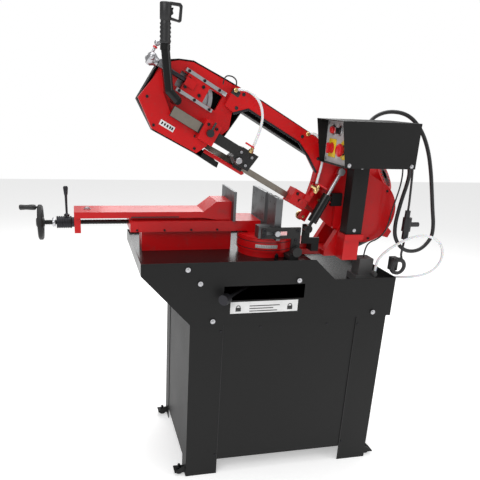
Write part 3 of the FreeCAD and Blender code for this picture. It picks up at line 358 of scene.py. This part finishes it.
def studio():
    fresh()
    bpy.ops.mesh.primitive_plane_add(size=14)
    floor = bpy.context.object
    floor.name = "floor"
    pale = Finish("paleFloor", Base_Color=(0.9, 0.9, 0.9), Roughness=0.9, Emission_Color=(1, 1, 1),
                  Emission_Strength=0.42)
    floor.data.materials.append(pale.material)
    world = bpy.data.worlds.new("studio")
    bpy.context.scene.world = world
    world.use_nodes = True
    sky = world.node_tree.nodes["Background"]
    sky.inputs["Color"].default_value = (1, 1, 1, 1)
    seen = world.node_tree.nodes.new("ShaderNodeLightPath")
    level = world.node_tree.nodes.new("ShaderNodeMapRange")
    level.inputs["To Min"].default_value, level.inputs["To Max"].default_value = 0.42, 1.0
    world.node_tree.links.new(seen.outputs["Is Camera Ray"], level.inputs["Value"])
    world.node_tree.links.new(level.outputs["Result"], sky.inputs["Strength"])
    lamps = {"key": ((-1.9, -2.3, 2.9), 1.9, 44), "fill": ((2.6, -1.7, 1.9), 1.6, 16),
             "overhead": ((0.2, 0.3, 3.6), 2.6, 58), "rear": ((0.6, 2.6, 2.4), 2.0, 36)}
    for name, (place, size, power) in lamps.items():
        light = bpy.data.lights.new(name, "AREA")
        light.size, light.energy = size, power
        holder = bpy.data.objects.new(name, light)
        bpy.context.collection.objects.link(holder)
        aim = Vector((0, 0, 0.8)) - Vector(place)
        holder.matrix_world = Matrix.Translation(place) @ aim.to_track_quat("-Z", "Y").to_matrix().to_4x4()
    bpy.context.scene.view_settings.view_transform = "Standard"


# ---- cords
cordWidths = {"conduit": 0.013, "lead": 0.0075, "hose": 0.009, "pumpCable": 0.005, "bowHose": 0.008}
conduitRoute = [
    (600, 66, 1170), (600, 112, 1170), (610, 152, 1196), (638, 170, 1238), (690, 160, 1262), (750, 134, 1254),
    (792, 110, 1208), (818, 92, 1146), (834, 80, 1078), (846, 72, 1010), (858, 66, 944), (869, 61, 892),
    (868, 58, 845), (825, 55, 802), (765, 54, 803), (723, 55, 846), (716, 57, 894), (722, 59, 944),
    (730, 60, 990), (738, 58, 1032), (737, 50, 1074), (720, 43, 1108), (685, 38, 1128), (645, 38, 1128)]
leadRoute = [
    (645, 4, 1160), (667, 4, 1160), (692, 7, 1150), (712, 12, 1126), (724, 17, 1088), (731, 22, 1040),
    (737, 27, 992), (742, 33, 970), (742, 33, 950)]
hoseRoute = [
    (652, 33, 742), (652, 33, 762), (657, 30, 786), (676, 24, 812), (708, 17, 838), (748, 11, 860),
    (792, 8, 871), (836, 6, 864), (870, 6, 842), (888, 8, 808), (888, 12, 772), (870, 18, 742),
    (840, 26, 724), (806, 34, 715), (772, 42, 712), (746, 46, 712), (722, 46, 712)]
pumpCableRoute = [
    (645, 22, 1128), (663, 22, 1128), (686, 27, 1114), (702, 36, 1082), (708, 46, 1036), (704, 54, 988),
    (698, 62, 940), (699, 70, 896), (690, 78, 860), (668, 80, 840), (642, 79, 832), (628, 78, 812),
    (626, 78, 779.5)]


def cordLength(piece):
    mesh = bpy.data.meshes.new_from_object(bareCopy(piece))
    return sum((mesh.vertices[edge.vertices[0]].co - mesh.vertices[edge.vertices[1]].co).length
               for edge in mesh.edges)


def bareCopy(piece):
    bare = piece.copy()
    bare.data = piece.data.copy()
    bare.data.bevel_depth = 0
    return bare


def cords():
    for name, points, width, finish, body, slot, node, stiffness, end in (
            ("cableConduit", conduitRoute, "conduit", "cable", "swivel", "black_cable", "cable_conduit", "stiff", "object"),
            ("coolantHose", hoseRoute, "hose", "hose", "root", "white_hose", "coolant_hose", "medium", "object"),
            ("pumpCable", pumpCableRoute, "pumpCable", "cable", "swivel", "black_cable", "pump_cable", "medium", "object")):
        piece = route(name, [at(*point) for point in points], cordWidths[width], finish)
        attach(piece, body)
        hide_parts(node)
        at(*points[0])
        cordLength(piece)
        print(name, round(cordLength(piece), 3), "m")


# ---- the CAD pieces' own finishes
paint = {
    "red": "bow_frame drive_housing head_shroud table_base vise_bed vise_slide vise_clamp swivel_arm "
           "right_guide gearbox motor tension_slide guide_clamp",
    # rear_cover takes the black finish: partly the cover's dark inner side, partly painted shade where the cover lies
    # in shadow
    "black": "front_apron cabinet_legs cabinet_panels control_box rear_cover levelling_feet column link_brackets",
    "deck": "coolant_tray",
    "gloss": "handle_tube balance_spring lift_cylinder",
    "castBlack": "stop_bracket handwheel guide_arm",
    "steel": "tension_rails balance_rod lift_rod drive_wheel idler_wheel",
    "jaw": "fixed_jaws movable_jaw",
    "blade": "saw_blade",
    "zinc": "zinc_screws tension_wheel pivot_pins",
    "blackSteel": "swivel_lock_lever vise_lever crank_handle",
    "plastic": "guide_lock_knob selector_knob trigger lead_coupler mains_plug",
    "rubber": "handle_grip",
    "panel": "control_panel",
    "redPlastic": "emergency_stop stop_button main_switch",
    "greenPlastic": "start_button",
    "pump": "coolant_pump",
    "brass": "blade_brush",
    "cable": "mains_lead lead_hank"}


def paintNodes():
    for finish, names in paint.items():
        for name in names.split():
            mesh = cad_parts[name].data
            mesh.materials.clear()
            mesh.materials.append(finishes[finish].material)



# ---- the bow's head, rails and handle
front = -acrossY
leftward = -alongBow
bow = {"railFace": 86.0, "railSteps": (-704, -652, -600), "railLevels": (78, 140),
       "slideFace": 88.0, "slideScrews": ((-694, 96), (-694, 123), (-646, 96), (-646, 123)),
       "shroudFace": 82.0, "creases": (((-796, 5), (-724, -52)), ((-724, -52), (-690, 3)), ((-776, 98), (-742, 50))),
       "shroudScrews": ((-778, 16), (-724, -44), (-584, -42), (-600, -10)),
       "beamFace": 84.0, "beamScrews": ((-530, 168), (-530, 124), (-300, 160), (-215, 130))}


def bowHead():
    screws = [capScrew(onBow(u, bow["railFace"], w), front, 4.4, 4) for u in bow["railSteps"]
              for w in bow["railLevels"]]
    screws += [capScrew(onBow(u, bow["slideFace"], w), front, 5, 4.5) for u, w in bow["slideScrews"][:2]]
    fitted("railScrews", screws, "blackSteel", "bow", "black_steel")
    fitted("slideScrews", [capScrew(onBow(u, bow["slideFace"], w), front, 5, 4.5)
                           for u, w in bow["slideScrews"][2:]], "blackSteel", "idler_carriage", "black_steel")
    fitted("railEnd", [block(onBow(-582, 93, 140), (mm(14), mm(12), mm(12)), mm(1.2), bowTurn)],
           "steel", "bow", "bright_steel")
    ridges = [bar(onBow(first[0], bow["shroudFace"] + 0.4, first[1]),
                  onBow(last[0], bow["shroudFace"] + 0.4, last[1]), mm(1.1), sides=12)
              for first, last in bow["creases"]]
    fitted("shroudFolds", ridges, "red", "bow", "red_paint")
    fitted("shroudScrews", [capScrew(onBow(u, bow["shroudFace"], w), front, 4.2, 3)
                            for u, w in bow["shroudScrews"]], "blackSteel", "bow", "black_steel")
    fitted("beamScrews", [crossScrew(onBow(u, bow["beamFace"], w), front, 4) for u, w in bow["beamScrews"]],
           "blackSteel", "bow", "black_steel")
    plate = slab([onBow(u, 81.6, w) for u, w in ((-712, -34), (-664, -34), (-664, -18), (-712, -18))],
                 front * mm(0.9), mm(0.3))
    fitted("shroudPlate", [plate], "white", "bow", "panel_grey")
    marks = [slab([onBow(u + du, 80.9, -26 + dw) for du, dw in ((0, -4), (5, -4), (5, 4), (0, 4))],
                  front * mm(0.4)) for u in (-707, -698, -689, -680, -673)]
    fitted("shroudMarks", marks, "plastic", "bow", "black_plastic")
    strip = slab([onBow(u, 85, w) for u, w in ((-528, 102), (-494, 136), (-302, 136), (-254, 116), (-200, 88),
                                               (-194, 93), (-248, 122), (-300, 142), (-497, 142), (-534, 107))],
                 front * mm(3), mm(0.6))
    fitted("beamStrip", [strip], "blackSteel", "bow", "black_steel")
    cable = route("switchCable", [onBow(-560, 92, 168), onBow(-566, 74, 186), onBow(-590, 66, 192),
                                  onBow(-612, 72, 180), onBow(-600, 84, 160)], mm(4), "cable")
    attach(cable, "bow")
    switch = [block(onBow(-553, 90, 160), (mm(26), mm(14), mm(18)), mm(2), bowTurn),
              bar(onBow(-553, 82.5, 160), onBow(-553, 80, 160), mm(4), mm(3))]
    fitted("limitSwitch", switch, "plastic", "bow", "black_plastic")


def tensioner():
    place = onBow(-828, 92, 112)
    hub = turned([(0, 0), (9, 0), (12, 2), (19, 5), (20, 9), (20, 18), (17, 22), (14, 27), (13, 34), (10, 35.4),
                  (0, 35.4)], place, alongBow, 40)
    arms = [hub]
    for reach in (upBow, front, acrossY):
        root = place + alongBow * mm(9)
        arms.append(bar(root + reach * mm(16), root + reach * mm(40), mm(4), mm(3.2), 20))
        arms.append(turned([(0, -1), (4, -1), (7, 1), (8.8, 5), (8.4, 9), (5, 13), (0, 14)],
                           root + reach * mm(38), reach, 24))
    fitted("tensionHub", arms, "zinc", "tension_wheel", "zinc", "tension_wheel")
    bands = [turned([(3.6, 0), (6.4, 0), (6.4, 5), (3.6, 5)], place + alongBow * mm(9) + upBow * mm(29), upBow, 24)]
    fitted("tensionBand", bands, "redPlastic", "tension_wheel", "red_plastic")
    shaft = [bar(onBow(-793, 92, 112), onBow(-702.5, 92, 112), mm(6.8), sides=28, edge=mm(0.6)),
             turned([(6.6, 0), (11, 1), (11, 9), (6.6, 10)], onBow(-768, 92, 112), alongBow, 6)]
    fitted("tensionShaft", shaft, "blackSteel", "tension_wheel", "black_steel")


handle = {"x": -84.3, "y": 40.0, "z": 1406.1, "guardTop": 112.0}


def handGrip():
    base = at(handle["x"], handle["y"], handle["z"])
    wave = [(0, 8), (13.5, 8), (15, 11)]
    for level in (18, 29, 40, 51):
        wave += [(15.9, level - 3), (13.6, level + 2.5)]
    wave += [(15.9, 58), (13.4, 62), (13.4, 66), (15.8, 69), (16, 108), (14.6, 110), (0, 110.2)]
    body = turned(wave, base, upZ, 48, 60)
    guard = slab([base + Vector((mm(x), 0, mm(z))) + acrossY * mm(-7.6) for x, z in (
        (10, 68), (40, 62.5), (43, 66), (45.6, 103), (40, 109.6), (10, 111.4), (10, 104), (37, 102.2),
        (39, 100), (36.2, 69.6), (33, 68.8), (10, 74.6))], acrossY * mm(15.2), mm(2.2), segments=3)
    fitted("rubberGrip", [body, guard], "rubber", "bow", "black_rubber", "handle_grip")
    press = slab([base + Vector((mm(x), 0, mm(z))) + acrossY * mm(-3.6) for x, z in (
        (4, 79), (17, 79), (21.6, 83), (19, 90), (21.8, 97.5), (4, 97.5))], acrossY * mm(7.2), mm(1.4), segments=3)
    fitted("triggerBlade", [press], "plastic", "trigger", "black_plastic", "trigger")
    collar = turned([(12.4, -8), (14.4, -8), (14.4, 6), (12.9, 7.6)], base, upZ, 36)
    fitted("gripCollar", [collar], "gloss", "bow", "black_powder_coat")


# ---- guide arm, right guide, taps and their hoses
bowHoses = {
    "leftHose": ((-558, 84, 166), (-552, 70, 172), (-530, 60, 182), (-490, 52, 176), (-458, 47, 146),
                 (-444, 45, 108), (-438, 46, 72), (-434, 50, 50)),
    "rightHose": ((-289, 84, 176), (-283, 77, 184), (-262, 74, 188), (-230, 75, 172), (-206, 75, 141),
                  (-192, 74, 105), (-185, 71, 76), (-182, 66, 60))}


def guides():
    for name, points in bowHoses.items():
        hose = route(name, [onBow(*point) for point in points], mm(8), "hose", 12)
        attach(hose, "bow")
        onBow(*points[0])
        cordLength(hose)
        mm(8)
    unions = [turned([(0, 0), (7, 0), (7, 5), (5.4, 6), (5.4, 12), (0, 12)], onBow(u, 84.5, w), front, 6)
              for u, w in ((-558, 166), (-289, 176))]
    fitted("hoseUnions", unions, "brass", "bow", "bright_steel")
    taps = []
    for u, y, w in ((-173, 66, 46), (-121, 84, 21)):
        spot = onBow(u, y - 4, w)
        taps += [turned([(0, 0), (8.6, 0), (9.6, 2), (9.6, 8), (7, 10), (7, 15), (9, 17), (9, 24), (0, 24)],
                        spot, acrossY, 6),
                 turned([(0, 0), (6, 0), (7.4, 3), (7.4, 12), (5, 15), (5, 27), (0, 27)],
                        spot + upBow * mm(-14), upBow, 24),
                 turned([(0, 0), (7, 0), (7, 7), (5.2, 9), (5.2, 16), (0, 16)], spot + leftward * mm(6), leftward, 6)]
    taps.append(turned([(0, 0), (7, 0), (8, 2), (8, 9), (5.5, 11), (5.5, 18), (0, 18)], onBow(-434, 50, 32), upBow, 6))
    fitted("brassTaps", taps, "brass", "bow", "bright_steel")
    levers = [block(onBow(u, y, w), size, mm(1.4), bowTurn) for u, y, w, size in (
        (-165, 52, 62, (mm(34), mm(8), mm(5))), (-112, 80, 34, (mm(30), mm(7), mm(5))),
        (-448, 46, 50, (mm(30), mm(8), mm(5))))]
    fitted("tapLevers", levers[:2], "redPlastic", "bow", "red_plastic")
    fitted("guideLever", levers[2:], "redPlastic", "guide_arm", "red_plastic")
    bolts = [capScrew(onBow(u, y, w), front, r, r) for u, y, w, r in (
        (-208, 95, 4, 5), (-190, 95, -12, 5), (-172, 95, 6, 4), (-590, 40, 38, 4.6), (-562, 40, 38, 4.6))]
    fitted("guideBolts", bolts, "blackSteel", "bow", "black_steel")
    headBolts = [capScrew(onBow(u, 54, w), front, 4.6, 4.6) for u, w in ((-458, 20), (-420, 22), (-426, -8))]
    headBolts += [turned([(0, 0), (8.2, 0), (9.8, 1.5), (9.8, 9), (8.2, 10.5), (0, 10.5)],
                         onBow(-452, 53.5, -6), front, 28)]
    fitted("guideHeadBolts", headBolts, "steel", "guide_arm", "bright_steel")
    guard = slab([onBow(u, 112, w) for u, w in ((-548, -38), (-404, -38), (-398, -30), (-404, -26), (-548, -26))],
                 front * mm(4), mm(0.8))
    fitted("bladeGuard", [guard], "red", "guide_arm", "red_paint")
    wear = slab([onBow(u, 54.05, w) for u, w in ((-699, 3), (-606, 3), (-606, 32), (-699, 32))], front * mm(0.2))
    fitted("bareSlide", [wear], "blade", "guide_arm", "bright_steel")


# ---- control box and its panel
panel = {"face": 434.0,
         "start_button": (-84, 1203, 11, 12), "stop_button": (16, 1203, 11, 12),
         "selector_knob": (-28, 1203, 10, 17), "main_switch": (14, 1150, 17, 21),
         "emergency_stop": (-66, 1150, 19, 24)}
outward = -acrossX


def onPanel(node, lift=0.0):
    y, z = panel[node][:2]
    return at(panel["face"] - lift, y, z)


def knob(name, node, finish, slot, profile):
    radius, tall = panel[node][2:]
    made = turned([(out * radius, along * tall) for out, along in profile], onPanel(node), outward, 40)
    return fitted(name, [made], finish, node, slot, node)


def controls():
    pushed = ((0, 0), (0.92, 0), (0.96, 0.8), (0.86, 0.94), (0.5, 1), (0, 0.93))
    knob("startCap", "start_button", "greenPlastic", "green_plastic", pushed)
    knob("stopCap", "stop_button", "redPlastic", "red_plastic", pushed)
    knob("mushroom", "emergency_stop", "redPlastic", "red_plastic",
         ((0, 0), (0.5, 0), (0.5, 0.4), (0.9, 0.44), (1, 0.6), (0.96, 0.8), (0.7, 0.96), (0, 1)))
    knob("rotaryDial", "main_switch", "redPlastic", "red_plastic",
         ((0, 0), (0.96, 0), (0.96, 0.18), (0.8, 0.24), (0.76, 0.55), (0, 0.55)))
    wing = block(onPanel("main_switch", 15), (mm(11), mm(9), mm(31)), mm(2))
    fitted("rotaryWing", [wing], "redPlastic", "main_switch", "red_plastic")
    knob("selectorDial", "selector_knob", "plastic", "black_plastic",
         ((0, 0), (1, 0), (1, 0.35), (0.82, 0.42), (0.78, 0.6), (0, 0.6)))
    grip = block(onPanel("selector_knob", 13), (mm(8), mm(6), mm(19)), mm(1.6))
    fitted("selectorGrip", [grip], "plastic", "selector_knob", "black_plastic")
    line = block(onPanel("selector_knob", 17.2), (mm(0.8), mm(2.2), mm(13)), mm(0.3))
    fitted("selectorLine", [line], "redPlastic", "selector_knob", "red_plastic")
    rims = [turned([(11.2, 0), (15, 0), (14.6, 2.4), (12.6, 4), (11.2, 3.4)], onPanel(node), outward, 40)
            for node in ("start_button", "stop_button", "selector_knob")]
    fitted("buttonRims", rims, "zinc", "swivel", "zinc")
    disc = turned([(0, 0.1), (28, 0.1), (28, 1.6), (27, 2.4), (0, 2.4)], onPanel("emergency_stop"), outward, 56)
    plate = block(onPanel("main_switch", 1.4), (mm(2.4), mm(48), mm(54)), mm(0.8))
    fitted("yellowPlates", [disc, plate], "yellow", "swivel", "panel_grey")
    collar = turned([(10.6, 2.3), (15.5, 2.3), (14.8, 4), (10.6, 4)], onPanel("emergency_stop"), outward, 40)
    fitted("stopCollar", [collar], "plastic", "swivel", "black_plastic")
    corners = [crossScrew(at(panel["face"], y, z), outward, 3.2) for y in (-106, 54) for z in (1116, 1222)]
    fitted("panelScrews", corners, "zinc", "swivel", "zinc")


def boxScrews():
    screws = [crossScrew(at(x, -118, z), front, 4.6) for x, z in ((430, 1112), (632, 1112))]
    screws += [crossScrew(at(541, 10, z), front, 4.2) for z in (1092, 890)]
    fitted("boxScrews", screws, "zinc", "swivel", "zinc")


# ---- stand: folds, label, screws and feet
stand = {"apronFace": -2.0, "label": (131, 364, 622, 662)}


def standDetails():
    left, right, low, high = stand["label"]
    plate = slab([at(x, stand["apronFace"] - 0.2, z) for x, z in ((left, low), (right, low), (right, high), (left, high))],
                 front * mm(1.0), mm(0.4))
    fitted("labelPlate", [plate], "white", "root", "panel_grey")
    icons = []
    for x in (158, 336):
        icons.append(slab([at(x + dx, stand["apronFace"] - 1.1, 636 + dz) for dx, dz in
                           ((-9, -7), (9, -7), (9, 6), (-9, 6))], front * mm(0.5), mm(0.2)))
        icons.append(turned([(5, -0.3), (7.4, -0.3), (7.4, 0.3), (5, 0.3)],
                            at(x, stand["apronFace"] - 1.5, 643), front, 28))
    icons += [slab([at(x + dx, stand["apronFace"] - 1.1, z + dz) for dx, dz in
                    ((0, 0), (wide, 0), (wide, 3), (0, 3))], front * mm(0.5), mm(0.2))
              for x, z, wide in ((196, 645, 104), (196, 636, 82), (196, 627, 96))]
    fitted("labelIcons", icons, "plastic", "root", "black_plastic")
    screws = [crossScrew(at(x, stand["apronFace"] - 4, z), front, 6) for x, z in
              ((-12, 776), (29, 729), (361, 729), (74, 599), (644, 604))]
    fitted("apronScrews", screws, "zinc", "root", "zinc")


feet = ((-19, 30), (-19, 440), (719, 30), (719, 440))


def cabinetDetails():
    nuts = []
    for x, y in feet:
        nuts += [turned([(5.1, 0), (9, 0), (9, 5), (8, 6.4), (5.1, 6.4)], at(x, y, 18.1), upZ, 6),
                 turned([(5.1, 0), (9, 0), (9, 5), (8, 6.4), (5.1, 6.4)], at(x, y, 7), upZ, 6)]
    fitted("footNuts", nuts, "blackSteel", "root", "black_steel")
    folds = [slab([at(x, -0.1, z) for x, z in ((left, 4), (left + 1.6, 4), (left + 1.6, 584), (left, 584))],
                  front * mm(0.5), mm(0.2)) for left in (111.2, 587.2)]
    fitted("cabinetFolds", folds, "plastic", "root", "black_powder_coat")
    screws = [capScrew(at(x, 2, z), front, 3.6, 2) for x, z in ((241, 568), (480, 566))]
    screws += [capScrew(at(x, 0, z), front, 3.6, 2) for x, z in ((104, 560), (596, 560), (104, 80), (596, 80))]
    fitted("cabinetScrews", screws, "blackSteel", "root", "black_steel")


# ---- vise, base rings and stop
vise = {"line": 240.0, "level": 876.0, "wheelX": -455.0, "clampX": -377.0}


def along(x, y=240.0, z=876.0):
    return at(x, y, z)


def viseDetails():
    hub = along(vise["wheelX"])
    rim = turned([(43.5, -5), (46, -7.6), (52, -8.2), (56.6, -5), (57, 0), (56.6, 5), (52, 8.2), (46, 7.6),
                  (43.5, 5)], hub, acrossX, 64)
    boss = turned([(0, -14), (12, -14), (15.6, -11), (16, 8), (13, 12), (0, 12)], hub, acrossX, 40)
    parts = [rim, boss]
    for turn in (90, 210, 330):
        reach = Matrix.Rotation(math.radians(turn), 3, "X") @ upZ
        parts.append(bar(hub + reach * mm(12), hub + reach * mm(46), mm(7), mm(5), 20, mm(0.6)))
    thread = [(0, -2), (8, -2)]
    for step in range(84):
        thread += [(7.9, step * 5 + 0.6), (6.5, step * 5 + 2.4), (6.5, step * 5 + 3.2), (7.9, step * 5 + 4.6)]
    thread += [(7.9, 422), (0, 422)]
    parts.append(turned(thread, hub + acrossX * mm(2), acrossX, 24, 60))
    pin = at(vise["wheelX"], vise["line"], vise["level"] + 49)
    parts.append(bar(pin, pin - acrossX * mm(60), mm(3.4), sides=24, edge=mm(0.5)))
    fitted("spokedWheel", parts, "castBlack", "handwheel", "black_steel", "handwheel")
    grip = turned([(3.7, 0), (7, 0), (8.8, 5), (8.9, 14), (7.6, 30), (8.4, 42), (8.8, 48), (6, 51.8), (3.7, 52)],
                  pin - acrossX * mm(12), -acrossX, 36)
    fitted("crankGrip", [grip], "plastic", "crank_handle", "black_plastic", "crank_handle")
    sleeve = [(8.2, 0), (18.5, 0), (20, 1.4)]
    for step in range(6):
        sleeve += [(20, 4 + step * 7), (18.2, 5 + step * 7), (18.2, 7 + step * 7), (20, 8 + step * 7)]
    sleeve += [(20, 46.4), (18.5, 48), (16, 48), (16, 55.7), (8.2, 55.7)]
    fitted("clampSleeve", [turned(sleeve, along(-405), acrossX, 48, 50)], "blackSteel", "vise_slide",
           "bright_steel", "vise_clamp")
    ring = turned([(8.3, 0), (14, 0), (14.6, 1), (14.6, 8), (14, 9), (8.3, 9)], along(-418), acrossX, 40)
    fitted("silverRing", [ring], "zinc", "handwheel", "zinc")
    lever = turned([(0, 0), (8.6, 0), (9, 1), (9, 5), (7, 6), (3.6, 9), (3.8, 40), (4.4, 66), (6, 72), (7.8, 92),
                    (6, 96.4), (0, 97)], along(-372, z=896.4), upZ, 32)
    fitted("clampLever", [lever], "blackSteel", "vise_lever", "bright_steel", "vise_lever")
    bolt = [turned([(0, 0), (9, 0), (9, 5.6), (8, 6.6), (0, 6.6)], at(-306, 240, 919), upZ, 6),
            turned([(0, 0), (12, 0), (12, 1.4), (0, 1.4)], at(-306, 240, 919), upZ, 32)]
    fitted("slideBolt", bolt, "zinc", "vise_slide", "zinc")
    # the slot in the vise slide is a thin black strip on its face: painted shade inside the slot
    strip = slab([at(x, 183.4, z) for x, z in ((-168, 900.4), (-10, 900.4), (-10, 904), (-168, 904))],
                 front * mm(0.6), mm(0.2))
    fitted("slideSlotShade", [strip], "plastic", "vise_slide", "black_plastic")
    edge = [capScrew(at(x, 172, 861), front, 3.6, 3.6) for x in (-150, -60, 30, 120)]
    fitted("bedScrews", edge, "blackSteel", "root", "black_steel")
    backs = [crossScrew(at(279.2, y, z), -acrossX, 4.6) for y in (62, 103, 176, 280) for z in (912, 968)]
    fitted("jawScrews", backs, "blackSteel", "root", "black_steel")
    moving = [crossScrew(at(175.8, y, z), acrossX, 4.6) for y in (176, 300) for z in (912, 968)]
    fitted("movingScrews", moving, "blackSteel", "vise_slide", "black_steel")


def swivelBase():
    middle = at(288, 165, 0)
    # the two collar grooves are black rings laid on the collar: painted shade inside the recessed grooves
    grooveShadeRings = [turned([(95.6, z - 1.1), (96.5, z - 1.1), (96.5, z + 1.1), (95.6, z + 1.1)], middle, upZ, 72)
             for z in (812, 837)]
    fitted("collarGrooveShade", grooveShadeRings, "plastic", "swivel", "black_plastic")
    plate, ticks = [], []
    for step in range(-6, 7):
        way = Matrix.Rotation(math.radians(step * 3.4 - 14), 3, "Z") @ front
        side = Matrix.Rotation(math.radians(step * 3.4 - 14), 4, "Z")
        plate.append(block(middle + way * mm(96.4) + upZ * mm(824), (mm(6.4), mm(0.9), mm(11)), mm(0.2), side))
        ticks.append(block(middle + way * mm(97.1) + upZ * mm(824 + (step % 3 == 0)),
                           (mm(0.7), mm(0.5), mm(8 if step % 3 == 0 else 5)), mm(0.1), side))
    fitted("scalePlate", plate, "panel", "swivel", "panel_grey")
    fitted("scaleTicks", ticks, "plastic", "swivel", "black_plastic")
    pointer = slab([at(300 + dx, 66, 786 + dz) for dx, dz in ((-7, 0), (7, 0), (7, 10), (0, 18), (-7, 10))],
                   front * mm(2), mm(0.5))
    fitted("scalePointer", [pointer], "blackSteel", "root", "black_steel")
    star = [turned([(0, 0), (13, 0), (14.4, 2), (14.4, 12), (11, 15.4), (0, 16)], at(347, 18.4, 822), front, 32)]
    for lobe in range(6):
        way = Matrix.Rotation(math.radians(lobe * 60), 3, "Y") @ upZ
        spot = at(347, 18, 822) + way * mm(11.6)
        star.append(bar(spot, spot + front * mm(14), mm(5), mm(4.4), 20, mm(0.8)))
    fitted("starKnob", star, "plastic", "root", "black_plastic")
    bolts = [capScrew(at(x, 26, z), front, 5, 4) for x, z in ((238, 890), (238, 872), (352, 888), (347, 856))]
    fitted("stopBolts", bolts, "blackSteel", "root", "black_steel")
    slope = slab([at(x, 4, z) for x, z in ((414.4, 785.9), (489.6, 701.4), (490, 700.9), (414.8, 785.4))],
                 acrossY * mm(454))
    fitted("chipSlope", [slope], "wheelIron", "root", "zinc")


# ---- motor cowl, fins and the pivot side
def motorDetails():
    way = (alongBow * 0.339 + front * 0.589 + upBow * 0.734).normalized()
    base = onBow(56, 330, 110)
    cowl = turned([(54, 118), (60.4, 119), (61, 122), (61, 150), (58, 157), (50, 160.6), (0, 160.9)], base, way, 64)
    fitted("motorCowl", [cowl], "red", "bow", "red_paint")
    across = way.orthogonal().normalized()
    slotShadeBars, fins = [], []
    # the twenty vent slots in the cowl's end are black bars laid on it: painted shade inside the openings
    for step in range(20):
        spoke = Matrix.Rotation(math.radians(step * 18), 3, way) @ across
        slotShadeBars.append(bar(base + way * mm(160.4) + spoke * mm(17), base + way * mm(160.2) + spoke * mm(46),
                         mm(1.5), mm(2.4), 12))
    for step in range(30):
        spoke = Matrix.Rotation(math.radians(step * 12), 3, way) @ across
        fins.append(bar(base + way * mm(30) + spoke * mm(55.6), base + way * mm(118) + spoke * mm(55.6),
                        mm(2), sides=8))
    fitted("cowlSlotShade", slotShadeBars, "plastic", "bow", "black_plastic")
    fitted("motorFins", fins, "red", "bow", "red_paint")
    crown = [capScrew(onBow(50 + 96 * math.cos(turn), 100, 74 + 96 * math.sin(turn)), front, 4, 3)
             for turn in (0.2, 1.3, 4.3, 5.4)]
    fitted("housingScrews", crown, "blackSteel", "bow", "black_steel")


# ---- the mains lead and its hank, and the cables beside the column
def loops():
    tail = [at(748, 37, 852), at(748, 37, 836), at(742, 31, 816), at(736, 24, 798)]
    turns = []
    for step in range(60):
        angle = math.radians(38 - step * 30)
        layer = step / 12
        radius = 24.0 + 3.6 * math.sin(layer * 1.7) + 0.4 * chance.random()
        turns.append(at(722 + radius * math.cos(angle), 16.2 - 10.4 * abs(math.sin(layer * 0.62)),
                        763 + radius * math.sin(angle)))
    return tail + turns


def leadPieces():
    lead = route("mainsLead", [at(*point) for point in leadRoute], cordWidths["lead"], "cable")
    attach(lead, "swivel")
    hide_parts("mains_lead")
    at(*leadRoute[0])
    cordLength(lead)
    hank = route("leadHank", loops(), cordWidths["lead"], "cable")
    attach(hank, "swivel")
    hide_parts("lead_hank")
    at(748, 37, 852)
    cordLength(hank)
    glands = [turned([(4, 0), (12, 0), (12, 5), (9.6, 6), (9.2, 15), (6, 21), (4, 21)], place, acrossX, 28)
              for place in (at(645, 4, 1160), at(645, 22, 1128))]
    glands.append(turned([(6.6, 0), (14, 0), (14, 7), (11, 9), (10.4, 18), (6.6, 20)], at(600, 66, 1170), acrossY, 28))
    glands.append(turned([(6.6, 0), (14, 0), (14, 7), (11, 9), (10.4, 18), (6.6, 20)], at(645, 38, 1128), acrossX, 28))
    fitted("cableGlands", glands, "plastic", "swivel", "black_plastic")
    print("hank", round(cordLength(hank), 3), "m")


camera()
studio()
paintNodes()
cords()
leadPieces()
print("camera, studio and cords made")
bowHead()
tensioner()
handGrip()
guides()
print("bow detailed")
controls()
boxScrews()
standDetails()
cabinetDetails()
viseDetails()
swivelBase()
motorDetails()
print("controls, stand, vise and motor detailed")
